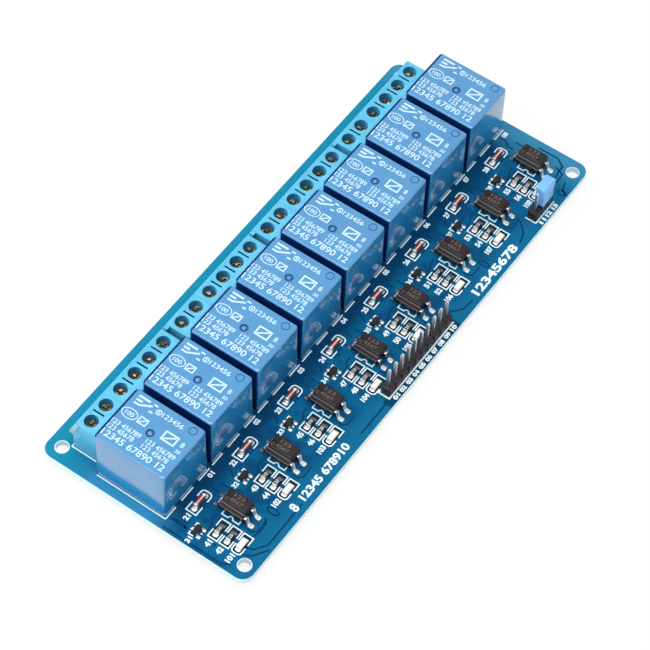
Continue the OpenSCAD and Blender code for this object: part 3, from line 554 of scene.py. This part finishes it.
# Pads and solder
# Every surface part sits on tinned copper pads in a low fillet of solder, and every tail that
# passes the board ends in a cone of solder. Between a chip's pads the mask looks darker.
def stacked(rings):
    """Rings of points, each anticlockwise from above, skinned in their order and capped at
    both ends."""
    points, faces = grid(np.asarray(rings))
    around = len(rings[0])
    faces.append(list(range(around))[::-1])
    faces.append(list(range(len(points) - around, len(points))))
    return points, faces


def mound(x, y, length_x, length_y, height):
    """A solder fillet on a rounded pad: rings of one squared-off outline, on which the fourth
    powers of x and y add up to one, drawn in toward the middle as the height goes up."""
    turn = np.linspace(0, 2 * np.pi, 20, endpoint=False)
    out = 1 / (np.abs(np.cos(turn)) ** 4 + np.abs(np.sin(turn)) ** 4) ** 0.25
    share = np.array([1.0, 1.0, 0.92, 0.75, 0.4])[:, None]
    lift = np.array([0.0, 0.2, 0.45, 0.8, 1.0])[:, None] * height
    return stacked(np.stack([x + share * out * np.cos(turn) * length_x / 2,
                             y + share * out * np.sin(turn) * length_y / 2,
                             top + lift + 0 * turn], -1))


coupler_half_y = 2.3
coupler_y = coupler_low + coupler_half_y
lead_off = pin_pitch / 2
pads, windows = [], []
for y in channel_y:
    for side in (-1, 1):
        far = side > 0
        pads.append(mound(diode_x, y + diode_y + side * 1.95, 1.4, 1.2, 0.12))
        pads += [mound(x, y + chip_y + side * 1.3 - 0.04, 1.36, 0.9 if far else 1.2, 0.09)
                 for x in chip_x]
        reach, *pad_size = (4.75, 1.4, 1.2, 0.22) if far else (4.6, 0.9, 0.8, 0.1)
        pads += [mound(coupler_x + side * reach, y + coupler_y + row, *pad_size)
                 for row in (-lead_off, lead_off)]
    windows += [ribbon([(x, y + chip_y - 2.4), (x, y + chip_y + 2.4)], 2.14, top, top + film)
                for x in chip_x]
    pads += [mound(transistor_x + dx, y + transistor_y + dy, 1.05, 0.85, 0.16)
             for dx, dy in ((-1.1, 0), (1.12, 1.02), (1.12, -1.02))]
window_blue = clouded("mask_over_laminate", 1.0, (0, 40, 60), (6, 52, 72), 0.4, 0.7,
                      Specular_IOR_Level=0.06)
lay("bare_windows", joined(windows), window_blue)


def tinned(name, colour, roughness=0.24, **constants):
    """Bright plated metal with a faint mottle and fine scratches."""
    return clouded(name, 0.5, 0.9 * np.array(colour), colour, roughness, 0.25, 0.14, 0.18, 0.012,
                   Metallic=1.0, **constants)


solder_material = tinned("solder", (222, 220, 216), 0.32)
pad_solder = lay("pad_solder", joined(pads), solder_material)
dress(solder_material, "solder_joints")


# Hole rims
# The four mounting holes are plated through: each has a narrow tinned rim on both faces
# of the board, and a thin tinned wall that joins them.
hole_grid = next(m for m in frame["record"]["mounts"] if m["name"] == "mounting_holes")["dims"]
hole_x, hole_y = hole_grid["spacing_x_mm"] / 2, hole_grid["spacing_y_mm"] / 2
hole_r, rim_t = hole_grid["hole_r_mm"], 0.03
rims = [hoop(x, y, hole_r + off, width, low, high, 40)
        for x in (hole_x, -hole_x) for y in (hole_y, -hole_y)
        for off, width, low, high in (
            (0.09, 0.18, -rim_t, 0.0), (0.09, 0.18, top, top + rim_t), (-0.02, 0.04, 0.0, top))]
rim_material = tinned("rim_tin", (206, 222, 230), 0.5)
lay("hole_rims", joined(rims), rim_material)


# Tail rings
# Rings of tinned copper on the underside, one round each tail of the relays, terminals
# and headers. The solder cones stand on them.
pin_x = (header_low[0] + header_high[0]) / 2
tails = []
for y in channel_y:
    tails += [(contact_x, y - pin_off, 1.35), (contact_x, y + pin_off, 1.35), (common_x, y, 1.35),
              (coil_x, y - pin_off, 0.9), (coil_x, y + pin_off, 0.9)]
tails += [(tail_x, y, 1.3) for y in way_y]
tails += [(pin_x, low[1] + (n + 0.5) * pin_pitch, 1.0)
          for low, count in ((header_low, 10), (supply_low, 3)) for n in range(count)]
tail_rings = [hoop(x, y, radius, 0.55, -rim_t, 0.0) for x, y, radius in tails]
lay("tail_rings", joined(tail_rings), solder_material)


# Relay works
# Inside each relay a copper winding on a moulded bobbin pulls a hinged iron plate, which
# carries a springy bronze blade between the two fixed brass contacts.
def moulded(name, colour, roughness=0.4, speck=0.25, depth=0.006, vary=0.07, **constants):
    """Moulded plastic: slight clouding of its colour and a very fine grain."""
    dark, light = (np.minimum(255, np.array(colour) * part) for part in (1 - vary, 1 + vary))
    return clouded(name, 3.0, dark, light, roughness - 0.05, 0.8, 0.1, speck, depth, 3, **constants)


iron = tinned("plated_iron", (168, 170, 174), 0.34)
bronze = tinned("spring_bronze", (206, 160, 104), 0.28)
brass = tinned("contact_brass", (214, 182, 112), 0.26)
tin = tinned("tinned_wire", (212, 214, 214), 0.26)
wire = Finish("enamelled_wire")
wire_place = wire.add("ShaderNodeTexCoord", output="Object")
turns = wire.add("ShaderNodeTexWave", {"bands_direction": "Z"}, {
    "Vector": wire_place, "Scale": 1800.0, "Distortion": 0.4}, 1)
wire_tone = blended(wire, turns, (120, 52, 22), (196, 104, 52))
wire_material = skin(wire, wire_tone, 0.3 + grain(wire, 0.5) * 0.15, turns, 0.05, Metallic=0.6)
dress(moulded("base_plastic", (30, 34, 44), 0.45), "relay_bases")
dress(moulded("bobbin_plastic", (226, 224, 212), 0.45), "coil_bobbins")
dress(wire_material, "coil_windings")
dress(iron, "coil_cores", "yokes", *(f"armature_{i + 1}" for i in range(8)))
dress(tin, "coil_pins", "common_pins")
dress(brass, "fixed_contacts")
dress(bronze, *(f"contact_blade_{i + 1}" for i in range(8)))


# Relay covers
# Glossy blue covers, moulded with a slight draft and sealed to the base. The top has a
# sealing dimple in its middle and the round mark of an ejector pin near one corner.
def rounded_ring(half_x, half_y, radius, z, steps=3):
    """A rectangle with rounded corners as a ring of points at height z, anticlockwise from
    above: a quarter circle at each corner, and further points on the straight sides."""
    turn = np.radians(np.linspace(0, 90, steps + 1))
    corners = [np.column_stack([sx * (half_x - radius) + radius * np.cos(turn + n * np.pi / 2),
                                sy * (half_y - radius) + radius * np.sin(turn + n * np.pi / 2)])
               for n, (sx, sy) in enumerate(((1, 1), (-1, 1), (-1, -1), (1, -1)))]
    share = np.linspace(0, 1, steps + 2)[1:-1, None]
    sides = [first[-1] + (second[0] - first[-1]) * share
             for first, second in zip(corners, corners[1:] + corners[:1])]
    flat = np.vstack([part for pair in zip(corners, sides) for part in pair])
    return np.column_stack([flat, np.full(len(flat), z)])


def circle_like(ring, radius, z):
    """A circle whose points stand at the same angles as those of the ring."""
    turn = np.arctan2(ring[:, 1], ring[:, 0])
    return np.column_stack([radius * np.cos(turn), radius * np.sin(turn), np.full(len(turn), z)])


def cut_out(shape, tool):
    """The first shape without the space that the second one takes up."""
    pair = []
    for points, faces in (shape, tool):
        mesh = bpy.data.meshes.new("blank")
        mesh.from_pydata(points.tolist(), [], faces)
        pair.append(bpy.data.objects.new("blank", mesh))
        bpy.context.collection.objects.link(pair[-1])
    cut = pair[0].modifiers.new("cut", "BOOLEAN")
    cut.operation, cut.object, cut.solver = "DIFFERENCE", pair[1], "EXACT"
    left = pair[0].evaluated_get(bpy.context.evaluated_depsgraph_get()).to_mesh()
    shape = np.array([v.co[:] for v in left.vertices]), [list(p.vertices) for p in left.polygons]
    for thing in pair:
        bpy.data.objects.remove(thing)
    return shape


def second_finish(thing, material, chosen, about=(0.0, 0.0)):
    """Gives one further finish to the faces that are chosen by the x, y and z of their middles,
    in millimetres from the line about."""
    faces = thing.data.polygons
    middles, marks = np.empty(len(faces) * 3), np.empty(len(faces), np.int32)
    faces.foreach_get("center", middles)
    faces.foreach_get("material_index", marks)
    x, y, z = middles.reshape(-1, 3).T / mm
    marks[chosen(x - about[0], y - about[1], z)] = len(thing.data.materials)
    thing.data.materials.append(material)
    faces.foreach_set("material_index", marks)
    thing.data.update()


print_t = 0.02
case_top = relay_size[2] / 2 + relay_middle[2] - print_t
case_foot = relay_middle[2] - relay_size[2] / 2
half_x, half_y = relay_size[0] / 2, relay_size[1] / 2
case_wall, draft, roll, back_roll, corner = 0.8, 0.13, 0.4, 0.22, 0.7
rings = [rounded_ring(half_x - draft - case_wall, half_y - draft - case_wall, 0.3, z, 5)
         for z in (case_top - case_wall, case_foot)]
rings += [rounded_ring(half_x - inset, half_y - inset, corner, z, 5)
          for inset, z in ((0.12, case_foot), (0.0, case_foot + 0.12), (draft, case_top - roll))]
for turn in np.radians([18, 36, 54, 72, 90]):
    inset = roll * (1 - math.cos(turn))
    ring = rounded_ring(half_x - draft - inset, half_y - draft - inset, corner,
                        case_top - roll + roll * math.sin(turn), 5)
    ring[ring[:, 0] < 0, 0] += back_roll * (1 - math.cos(turn))
    rings.append(ring)
dimple_r, dimple_half, mark_r = 0.75, 0.3, 0.92
rings += [circle_like(rings[-1], radius, case_top + rise) for radius, rise in (
    (1.04, 0), (0.98, -0.05), (0.96, -0.24), (0.5, -0.24), (0.47, -0.05), (0.4, -0.02))]
mark_x, mark_y = half_x - 2.4, half_y - 1.85
pin_mark = hoop(mark_x, mark_y, mark_r, 0.2, case_top - 0.1, case_top + 1, 40)
cover_shape = cut_out(stacked(rings), pin_mark)
cover_blue = clouded("cover_plastic", 5, (20, 120, 180), (40, 140, 196), 0.2, 1.2, 0.08, 0.7, 0.006,
                     3, IOR=1.72, Coat_Weight=1.0, Coat_IOR=1.6, Coat_Roughness=0.1)


def in_a_mark(x, y, z):
    """Faces sunk in the groove of the dimple or in the mark of the ejector pin."""
    sunk = (z > case_top - roll) & (z < case_top - 0.02)
    return sunk & ((np.abs(np.hypot(x, y) - dimple_r) < dimple_half)
                   | (np.hypot(x - mark_x, y - mark_y) < mark_r + 0.18))


def on_back_roll(x, y, z):
    """Faces of the rolled edge toward the terminals."""
    return (z > case_top - roll) & (x < draft + roll + 0.2 - half_x)


def toward_neighbour(x, y, z):
    """Faces of the side toward the relay before, but for the foot."""
    return (z > case_foot + 0.1) & (z < case_top - roll) & (y < draft + 0.02 - half_y)


def stroke(path, width, closed=False):
    """A printed line on the top of a cover."""
    return ribbon(path, width, case_top, case_top + print_t, closed)


def figures(text, x, y, size, length):
    """Printed numbers on the top of a cover."""
    return numerals(text, x, y, case_top, size, length, 0, print_t, 0.014)


def crossed_box(x0, y0, x1, y1, width, margin_x, margin_y):
    """The outline of a box with a slanting line in it."""
    return [stroke([(x0, y0), (x1, y0), (x1, y1), (x0, y1)], width, True),
            stroke([(x0 + margin_x, y0 + margin_y), (x1 - margin_x, y1 - margin_y)], width)]


# A sign for a contact, plain numbers in rows, and boxes and rounds about short ones
cover_print = joined([
    *(figures(*row) for row in (
        ("12345 67890 12", -0.45, -5.4, 1.7, 16.4),
        ("123 45678", -5.2, -3.5, 1.25, 6.9), ("123 456789", -4.85, -1.95, 1.25, 7.6),
        ("123 45678", 3.9, -3.5, 1.25, 6.9), ("123 456789", 4.25, -1.95, 1.25, 7.6),
        ("123456", 2.15, 5.2, 1.25, 5.5), ("100", -6.5, 1.35, 1.1, 2.2),
        ("1", -1.6, 5.2, 0.7, 0.3), ("8", 7.4, 1.6, 1.3, 0.8), ("50", 7.5, -0.3, 0.9, 1.2))),
    *(stroke(*row) for row in (
        ([(-7.6, 4.2), (-6.2, 4.2), (-3.6, 5.6)], 0.45),
        ([(-3.6, 6.2), (-2.6, 6.2)], 0.4), ([(-3.6, 4.2), (-2.6, 4.2)], 0.4),
        ([(-7.6, 6.2), (-4.6, 6.2)], 0.5), ([(-7.6, 5.2), (-6.0, 5.2)], 0.5),
        (arc(-6.5, 1.35, 1.95, 0, 360, 28, 1.25 / 1.95)[:-1], 0.22, True),
        (arc(-1.6, 5.2, 0.62, 0, 360, 16)[:-1], 0.26, True))),
    *crossed_box(-4.0, 0.6, -2.0, 2.2, 0.3, 0.3, 0.2),
    *crossed_box(2.6, 0.3, 5.8, 2.5, 0.4, 0.4, 0.3)])
# Painted shade: the groove of the dimple and the ejector mark are painted darker than the cover
marks_shade_paint = moulded("sealing_resin", (10, 80, 132), 0.4)
# Painted shade: the rolled edge toward the terminals and the sides that face the relay before are
# dark navy
cover_shade_paint = moulded("cover_plastic_in_gap", (4, 38, 92), 0.6, Specular_IOR_Level=0.1)
cover_ink = clouded("cover_ink", 0.35, (178, 216, 232), (208, 234, 244), 0.5, 0.3)
for i, place in enumerate(relay_places):
    shell = lay(f"relay_cover_{i + 1}", moved(cover_shape, *place[:2]), cover_blue,
                stands_for=[f"relay_case_{i + 1}"])
    second_finish(shell, marks_shade_paint, in_a_mark, place)
    second_finish(shell, cover_shade_paint, lambda x, y, z: on_back_roll(x, y, z)
                  | ((i > 0) & toward_neighbour(x, y, z)), place)
    lay(f"cover_print_{i + 1}", moved(cover_print, *place[:2]), cover_ink)


# Terminal blocks
# Two-way and four-way screw terminals, hooked to each other and pushed down on the board.
# They are moulded in a paler blue, and all their edges are slightly rounded.
def softened(node, name, radius, material, segments=2, end_y=None):
    """A copy of a CAD part as one closed surface, its edges rounded to that radius in millimetres.
    What stands out beyond end_y toward -Y is taken off, and the face behind it is closed."""
    mesh = frame["nodes"][node].data.copy()
    work = bmesh.new()
    work.from_mesh(mesh)
    bmesh.ops.remove_doubles(work, verts=work.verts, dist=2e-6)
    if end_y is not None:
        beyond = [v for v in work.verts if v.co.y < end_y * mm]
        bmesh.ops.delete(work, geom=beyond, context="VERTS")
        bmesh.ops.holes_fill(work, edges=[e for e in work.edges if e.is_boundary])
    bmesh.ops.join_triangles(work, faces=work.faces, angle_face_threshold=0.002,
                             angle_shape_threshold=3.2)
    work.to_mesh(mesh)
    work.free()
    mesh.name = name
    mesh.materials.clear()
    mesh.materials.append(material)
    mesh.shade_smooth()
    thing = placed(name, mesh, "board", [node])
    round_off = thing.modifiers.new("rounded_edges", "BEVEL")
    round_off.width, round_off.segments = radius * mm, segments
    round_off.limit_method, round_off.angle_limit = "ANGLE", math.radians(32)
    round_off.use_clamp_overlap, round_off.harden_normals = True, True
    return thing


def off_lines(y, lines):
    """How far each y is from each of the lines, one column for each line."""
    return y[:, None] - np.array(lines)


screw_middle, screw_size = middle_of("terminal_screws")
well_x, well_r, well_depth = screw_middle[0], 1.7, 4.6
lit_x, lit_y = 0.816, 0.578
housing_top = block_high[2]


def in_a_well(x, y, z):
    """Faces below the top that lie within a screw well."""
    well = (np.hypot(off_lines(y, way_y), x[:, None] - well_x) < well_r).any(1)
    return well & (z > housing_top - well_depth) & (z < housing_top - 0.05)


def between(way_ends, half_width, half_length, depth, rim):
    """A test for the faces of the gaps behind those ways of each group of six."""
    middles = [way_y[n] + way_pitch / 2 for n in range(23) if n % 6 in way_ends]

    def chosen(x, y, z):
        near = (np.abs(off_lines(y, middles)) < half_width).any(1)
        return (near & (np.abs(x - well_x) < half_length)
                & (z > housing_top - depth) & (z < housing_top - rim))
    return chosen


def lit_well_wall(start, stop):
    """A test for the faces of a well's wall toward +X and +Y, which get a painted light, by how far
    they lie that way.
    """
    def chosen(x, y, z):
        off = off_lines(y, way_y)
        nearest = off[np.arange(len(y)), np.abs(off).argmin(1)]
        reach = lit_x * (x - well_x) + lit_y * nearest
        return in_a_well(x, y, z) & (reach > start) & (reach <= stop)
    return chosen


def housing_plastic(name, colour, roughness=0.6, **constants):
    """The plastic of the housings, which has a coarser grain."""
    return moulded(name, colour, roughness, 0.3, 0.01, **constants)


terminal_blue = housing_plastic("terminal_plastic", (86, 182, 216), 0.36, IOR=1.5)
second_blues = [
    # Painted shade: the faces inside each screw well are darker than the housing
    (housing_plastic("well_plastic", (28, 100, 132)), in_a_well),
    # Painted light: the wall on the +X and +Y side of each well is lighter, in three steps
    (housing_plastic("well_plastic_0", (40, 122, 158)), lit_well_wall(0.2, 0.75)),
    (housing_plastic("well_plastic_1", (58, 146, 182)), lit_well_wall(0.75, 1.2)),
    (housing_plastic("well_plastic_2", (76, 164, 198)), lit_well_wall(1.2, 2)),
    # Painted shade: the faces inside the slits between the wells are near black
    (housing_plastic("slit_plastic", (4, 34, 52), 0.7, Specular_IOR_Level=0.1),
     between((0, 2, 3, 4), 0.26, 1.56, 1.3, 0.02)),
    # Painted shade: the faces in the channels between the groups are darker
    (housing_plastic("channel_plastic", (22, 84, 134)), between((1, 5), 0.62, 1.9, 4, 0.03)),
]
for n in range(8):
    housing = softened(f"terminal_block_{n + 1}", f"terminal_housing_{n + 1}", 0.07, terminal_blue,
                       end_y=block_low[1] + 0.5 if n == 0 else None)
    for material, chosen in second_blues:
        second_finish(housing, material, chosen)


# Terminal ribs
# The first block of each group has a sloping rib on its -Y end, moulded in one with it.
# It closes the gap to the group before. The very first is cut off almost flush, and its end
# is painted pale: a painted light on the sloping end.
rib_side = np.array([(0, 5.7), (0, 5.2), (1.0, 5.2), (1.9, 7.4), (3.0, 10.2), (2.0, 10.2)])
rib_pull = (rib_side.mean(0) - rib_side) * 0.06
end_ribs = []
for n, length in ((1, 0.16), (3, tab), (5, tab), (7, tab)):
    low = box_of(f"terminal_block_{n}")[0]
    end = low[1] + tab
    rings = [np.column_stack([low[0] + rib_side[:, 0] + rib_pull[:, 0] * pull,
                              np.full(len(rib_side), y),
                              top + rib_side[:, 1] + rib_pull[:, 1] * pull])
             for y, pull in ((end + 0.1, 0), (end - length + 0.08, 0), (end - length - 0.02, 1))]
    end_ribs.append(stacked(rings))
ribs = lay("terminal_end_ribs", joined(end_ribs), terminal_blue)
rib_painted_light = housing_plastic("rib_plastic", (146, 194, 200), 0.4)
second_finish(ribs, rib_painted_light, lambda x, y, z: y < block_low[1] + 1.02)


# Terminal metal
# Plated steel screws with a cross in their heads, sunk in the wells, over the clamp cages
# that hold a wire against the tinned pin plate. The heads carry painted glints in bright patches.
head_t, head_lift = 1.45, 0.8  # the heads are drawn up from where the CAD part has them
steel = Finish("screw_steel")
# Painted glints: bright patches on the heads stand for glints of light
glint_patches = steel.add("ShaderNodeValToRGB", {"stops": (
    (0.54, (0, 0, 0, 1)), (0.62, (1, 1, 1, 1)))}, {0: grain(steel, 1.1, 3)})
screw_steel = skin(steel, blended(steel, glint_patches, (112, 112, 92), (244, 238, 212)),
                   0.2 + grain(steel, 0.8) * 0.12, grain(steel, 0.5), 0.03, Metallic=0.7)
screws = softened("terminal_screws", "clamping_screws", 0.14, screw_steel)
screw_top = screw_middle[2] + screw_size[2] / 2
screw_points = screws.data.vertices
corners = np.empty(len(screw_points) * 3)
screw_points.foreach_get("co", corners)
corners[2::3] += np.where(corners[2::3] > (screw_top - head_t) * mm, head_lift * mm, 0)
screw_points.foreach_set("co", corners)
screws.data.update()
head_top = screw_top + head_lift
# Painted shade: the walls of the cross recess in each head are darker metal
recess_shade_paint = tinned("screw_recess", (104, 100, 86), 0.45)
second_finish(screws, recess_shade_paint, lambda x, y, z: (z < head_top - 0.05) & (z > head_top - 0.62)
              & (np.hypot(off_lines(y, way_y), x[:, None] - well_x) < 1.25).any(1))
dress(tinned("clamp_steel", (190, 190, 182), 0.3), "wire_clamps")
dress(tin, "terminal_pins")


# Couplers
# Four-lead light couplers in black epoxy with a faint brown cast. The edge beside the
# first lead is bevelled, and the leads are bent down in a gull-wing shape.
def in_each_channel(shape, x, y):
    """The shape at one place in all eight channels."""
    return joined([moved(shape, x, middle + y) for middle in channel_y])


def from_couplers(y):
    """How far each y is from the middle line of each coupler, one column for each."""
    return off_lines(y, channel_y) - coupler_y


coupler_half_x = middle_of("coupler_bodies")[1][0] / 2
coupler_top = box_of("coupler_bodies")[1][2]
rings = []
for z, inset, front in ((0.25, 0.32, 0.62), (0.33, 0.25, 0.55), (2.2, 0.0, 0.1), (2.34, 0.0, 0.1),
                        (2.4, 0.03, 0.17), (3.08, 0.08, 0.66), (3.16, 0.09, 0.8),
                        (3.57, 0.14, 1.16), (3.62, 0.18, 1.22), (3.65, 0.28, 1.32)):
    ring = rounded_ring(coupler_half_x - inset, coupler_half_y - inset, 0.12, top + z)
    ring[ring[:, 1] < 0, 1] += front - inset
    rings.append(ring)
epoxy = moulded("black_epoxy", (33, 27, 28), 0.42, 0.2, 0.012, 0.26, Specular_IOR_Level=0.26)
bodies = in_each_channel(stacked(rings), coupler_x, coupler_y)
mouldings = lay("coupler_mouldings", bodies, epoxy, stands_for=["coupler_bodies"])
# Painted highlight: light bands along the ridge and the bevel on the front of each coupler
second_finish(mouldings, moulded("rubbed_edge", (112, 106, 110), 0.45), lambda x, y, z: (
    ((np.abs(z - top - 2.27) < 0.12) | (np.abs(z - top - 3.12) < 0.05))
    & (np.abs(from_couplers(y)) > 1.4).all(1)))
second_finish(mouldings, moulded("edge_in_shade", (16, 13, 14), 0.5), lambda x, y, z: (
    (np.abs(z - top - 3.6) < 0.05) & (np.abs(x - coupler_x) < 2.95)
    & ((from_couplers(y) < 0) & (from_couplers(y) > -1.5)).any(1)))
laser = Finish("laser_mark")
laser_mark = skin(laser, blended(laser, grain(laser, 0.3), (84, 72, 64), (108, 94, 80)), 0.6)
mark_t = 0.012
marks = []
for y in channel_y:
    x, y = coupler_x, y + coupler_y + 0.5
    marks += [numerals("123", x, y + 0.75, coupler_top, 0.95, 2.6, 0, mark_t),
              numerals("4567", x, y - 0.6, coupler_top, 0.95, 3.4, 0, mark_t),
              hoop(x - 2.4, y - 0.9, 0.3, 0.12, coupler_top, coupler_top + mark_t, 14)]
lay("coupler_marks", joined(marks), laser_mark)
wings = softened("coupler_leads", "gull_wing_leads", 0.05, tin, segments=1)
# Painted shade: the leads and pads on the -X side of each coupler take a darker tin
dull_tin = tinned("dull_tin", (116, 114, 120), 0.5)
second_finish(wings, dull_tin, lambda x, y, z: x < coupler_x)
second_finish(pad_solder, dull_tin, lambda x, y, z: (
    (np.abs(x - coupler_x + 4.6) < 0.5) & (np.abs(from_couplers(y)) < 2).any(1)))


# Diodes, transistors, resistors and lamps
# Small surface parts: glass diodes between silvery caps, moulded transistors with three
# leads, black-topped chip resistors with white figures, and cream lamp chips.
def block(half_x, half_y, radius, levels):
    """A small moulded body: rounded rectangles stacked on the board, each level given by its
    height and by how far it is drawn in."""
    return stacked([rounded_ring(half_x - inset, half_y - inset, radius, top + z)
                    for z, inset in levels])


def from_chips(y):
    """How far each y is from the middle line of the chips in each channel."""
    return off_lines(y, channel_y) - chip_y


glass = Finish("diode_glass")
glass_x = glass.add("ShaderNodeSeparateXYZ", None, {
    0: glass.add("ShaderNodeTexCoord", output="Object")})
# Painted highlight: a pink-white streak along each diode's glass
highlight_streak = (glass_x > (diode_x + 0.02) * mm) * (glass_x < (diode_x + 0.34) * mm)
glass_tone = blended(glass, grain(glass, 0.7), (104, 32, 30), (150, 56, 46))
glass_tone = blended(glass, highlight_streak, glass_tone, (240, 188, 184))
dress(skin(glass, glass_tone, 0.08 + grain(glass, 0.5) * 0.05, Coat_Weight=0.6), "diode_glass")
softened("diode_caps", "diode_end_caps", 0.12, tin)
transistor = block(0.68, 1.22, 0.08, (
    (0.1, 0.1), (0.5, 0.0), (0.56, 0.0), (0.98, 0.1), (1.05, 0.16)))
lay("transistor_mouldings", in_each_channel(transistor, transistor_x, transistor_y), epoxy,
    stands_for=["transistor_bodies"])
dress(tin, "transistor_leads")
resistor_black = moulded("resistor_glaze", (34, 32, 34), 0.3, 0.3, 0.004)
softened("resistor_bodies", "resistor_chips", 0.05, resistor_black)
chip_end = tinned("chip_end_tin", (214, 208, 204), 0.4)
caps = softened("chip_ends", "chip_end_caps", 0.06, chip_end)
# Painted shade: the +Y end caps and pads of the resistors take the darker tin too
second_finish(caps, dull_tin, lambda x, y, z: (
    ((from_chips(y) > 0) & (from_chips(y) < 3)).any(1) & (x < lamp_x - chip_pitch / 2)))
second_finish(pad_solder, dull_tin, lambda x, y, z: (
    ((from_chips(y) > 0) & (from_chips(y) < 2)).any(1)
    & (np.abs(x - lamp_x + 1.5 * chip_pitch) < 2.2)))
lens = block(0.72, 1.36, 0.22, ((0.1, 0.05), (0.16, 0.0), (0.62, 0.02), (0.74, 0.1), (0.8, 0.24)))
lens_cream = moulded("lamp_lens", (252, 247, 232), 0.35, 0.3, 0.004, Subsurface_Weight=0.1,
                     Subsurface_Radius=(mm, mm, mm))
lay("lamp_lenses", in_each_channel(lens, lamp_x, chip_y), lens_cream,
    stands_for=["lamp_chips"])
resistor_top = box_of("resistor_bodies")[1][2]
values = [numerals(text, x, y + chip_y, resistor_top, 0.78, 0.95, 90, 0.015, 0.0)
          for y in channel_y for text, x in zip(("10", "20"), chip_x)]
lay("resistor_figures", joined(values), white_ink)


# Pin headers
# Square pins pressed through notched black strips. The supply header's last two pins
# carry the jumper cap.
header_black = moulded("header_plastic", (30, 27, 29), 0.46, 0.25, 0.01, 0.2,
                       Specular_IOR_Level=0.3)
proud = 0.01
grooves = []
for row, low, high, count in (("control", header_low, header_high, 10),
                              ("supply", supply_low, supply_high, 3)):
    softened(f"{row}_header_strip", f"{row}_strip", 0.06, header_black)
    grooves += [ribbon([(low[0] - proud, y), (high[0] + proud, y)], 0.2, high[2] - 0.3,
                       high[2] + 0.012) for y in low[1] + pin_pitch * np.arange(1, count)]
# Painted shade: near-black bars, a little proud of the strips, stand for the notches between the
# pins
groove_black = moulded("groove_black", (8, 8, 10), 0.7, Specular_IOR_Level=0.1)
lay("strip_grooves", joined(grooves), groove_black)
pin_plate = tinned("pin_plating", (232, 234, 240), 0.22)
dress(pin_plate, "control_header_pins", "supply_header_pins")


# Jumper cap
# A blue moulded cap with a bent brass clip inside, pushed over two pins. Its upper end
# corners are cut off at a slope and each end has a shallow grip recess.
cap_middle, cap_size = middle_of("jumper_cap")
cap_low, cap_high = box_of("jumper_cap")[0][2], box_of("jumper_cap")[1][2]
cap_x, cap_y = cap_size[0] / 2, cap_size[1] / 2
hollow_wall, hollow_top = 0.45, 0.46
rings = [rounded_ring(cap_x - hollow_wall, cap_y - hollow_wall, 0.1, z)
         for z in (cap_high - hollow_top, cap_low)]
rings += [rounded_ring(cap_x - inset_x, cap_y - inset_y, 0.22, z) for z, inset_x, inset_y in (
    (cap_low, 0.04, 0.3), (cap_low + 0.05, 0.0, 0.26), (cap_low + 3.2, 0.0, 0.26),
    (cap_low + 3.3, 0.0, 0.0), (cap_high - 0.95, 0.0, 0.0), (cap_high - 0.12, 0.02, 0.62),
    (cap_high - 0.03, 0.06, 0.72), (cap_high, 0.16, 0.85))]
cap_shape = moved(stacked(rings), *cap_middle[:2])
cap_blue = moulded("jumper_plastic", (112, 182, 244), 0.36, 0.3, 0.008)
lay("jumper_cover", cap_shape, cap_blue, "jumper", ["jumper_cap"])
dress(brass, "jumper_clip")
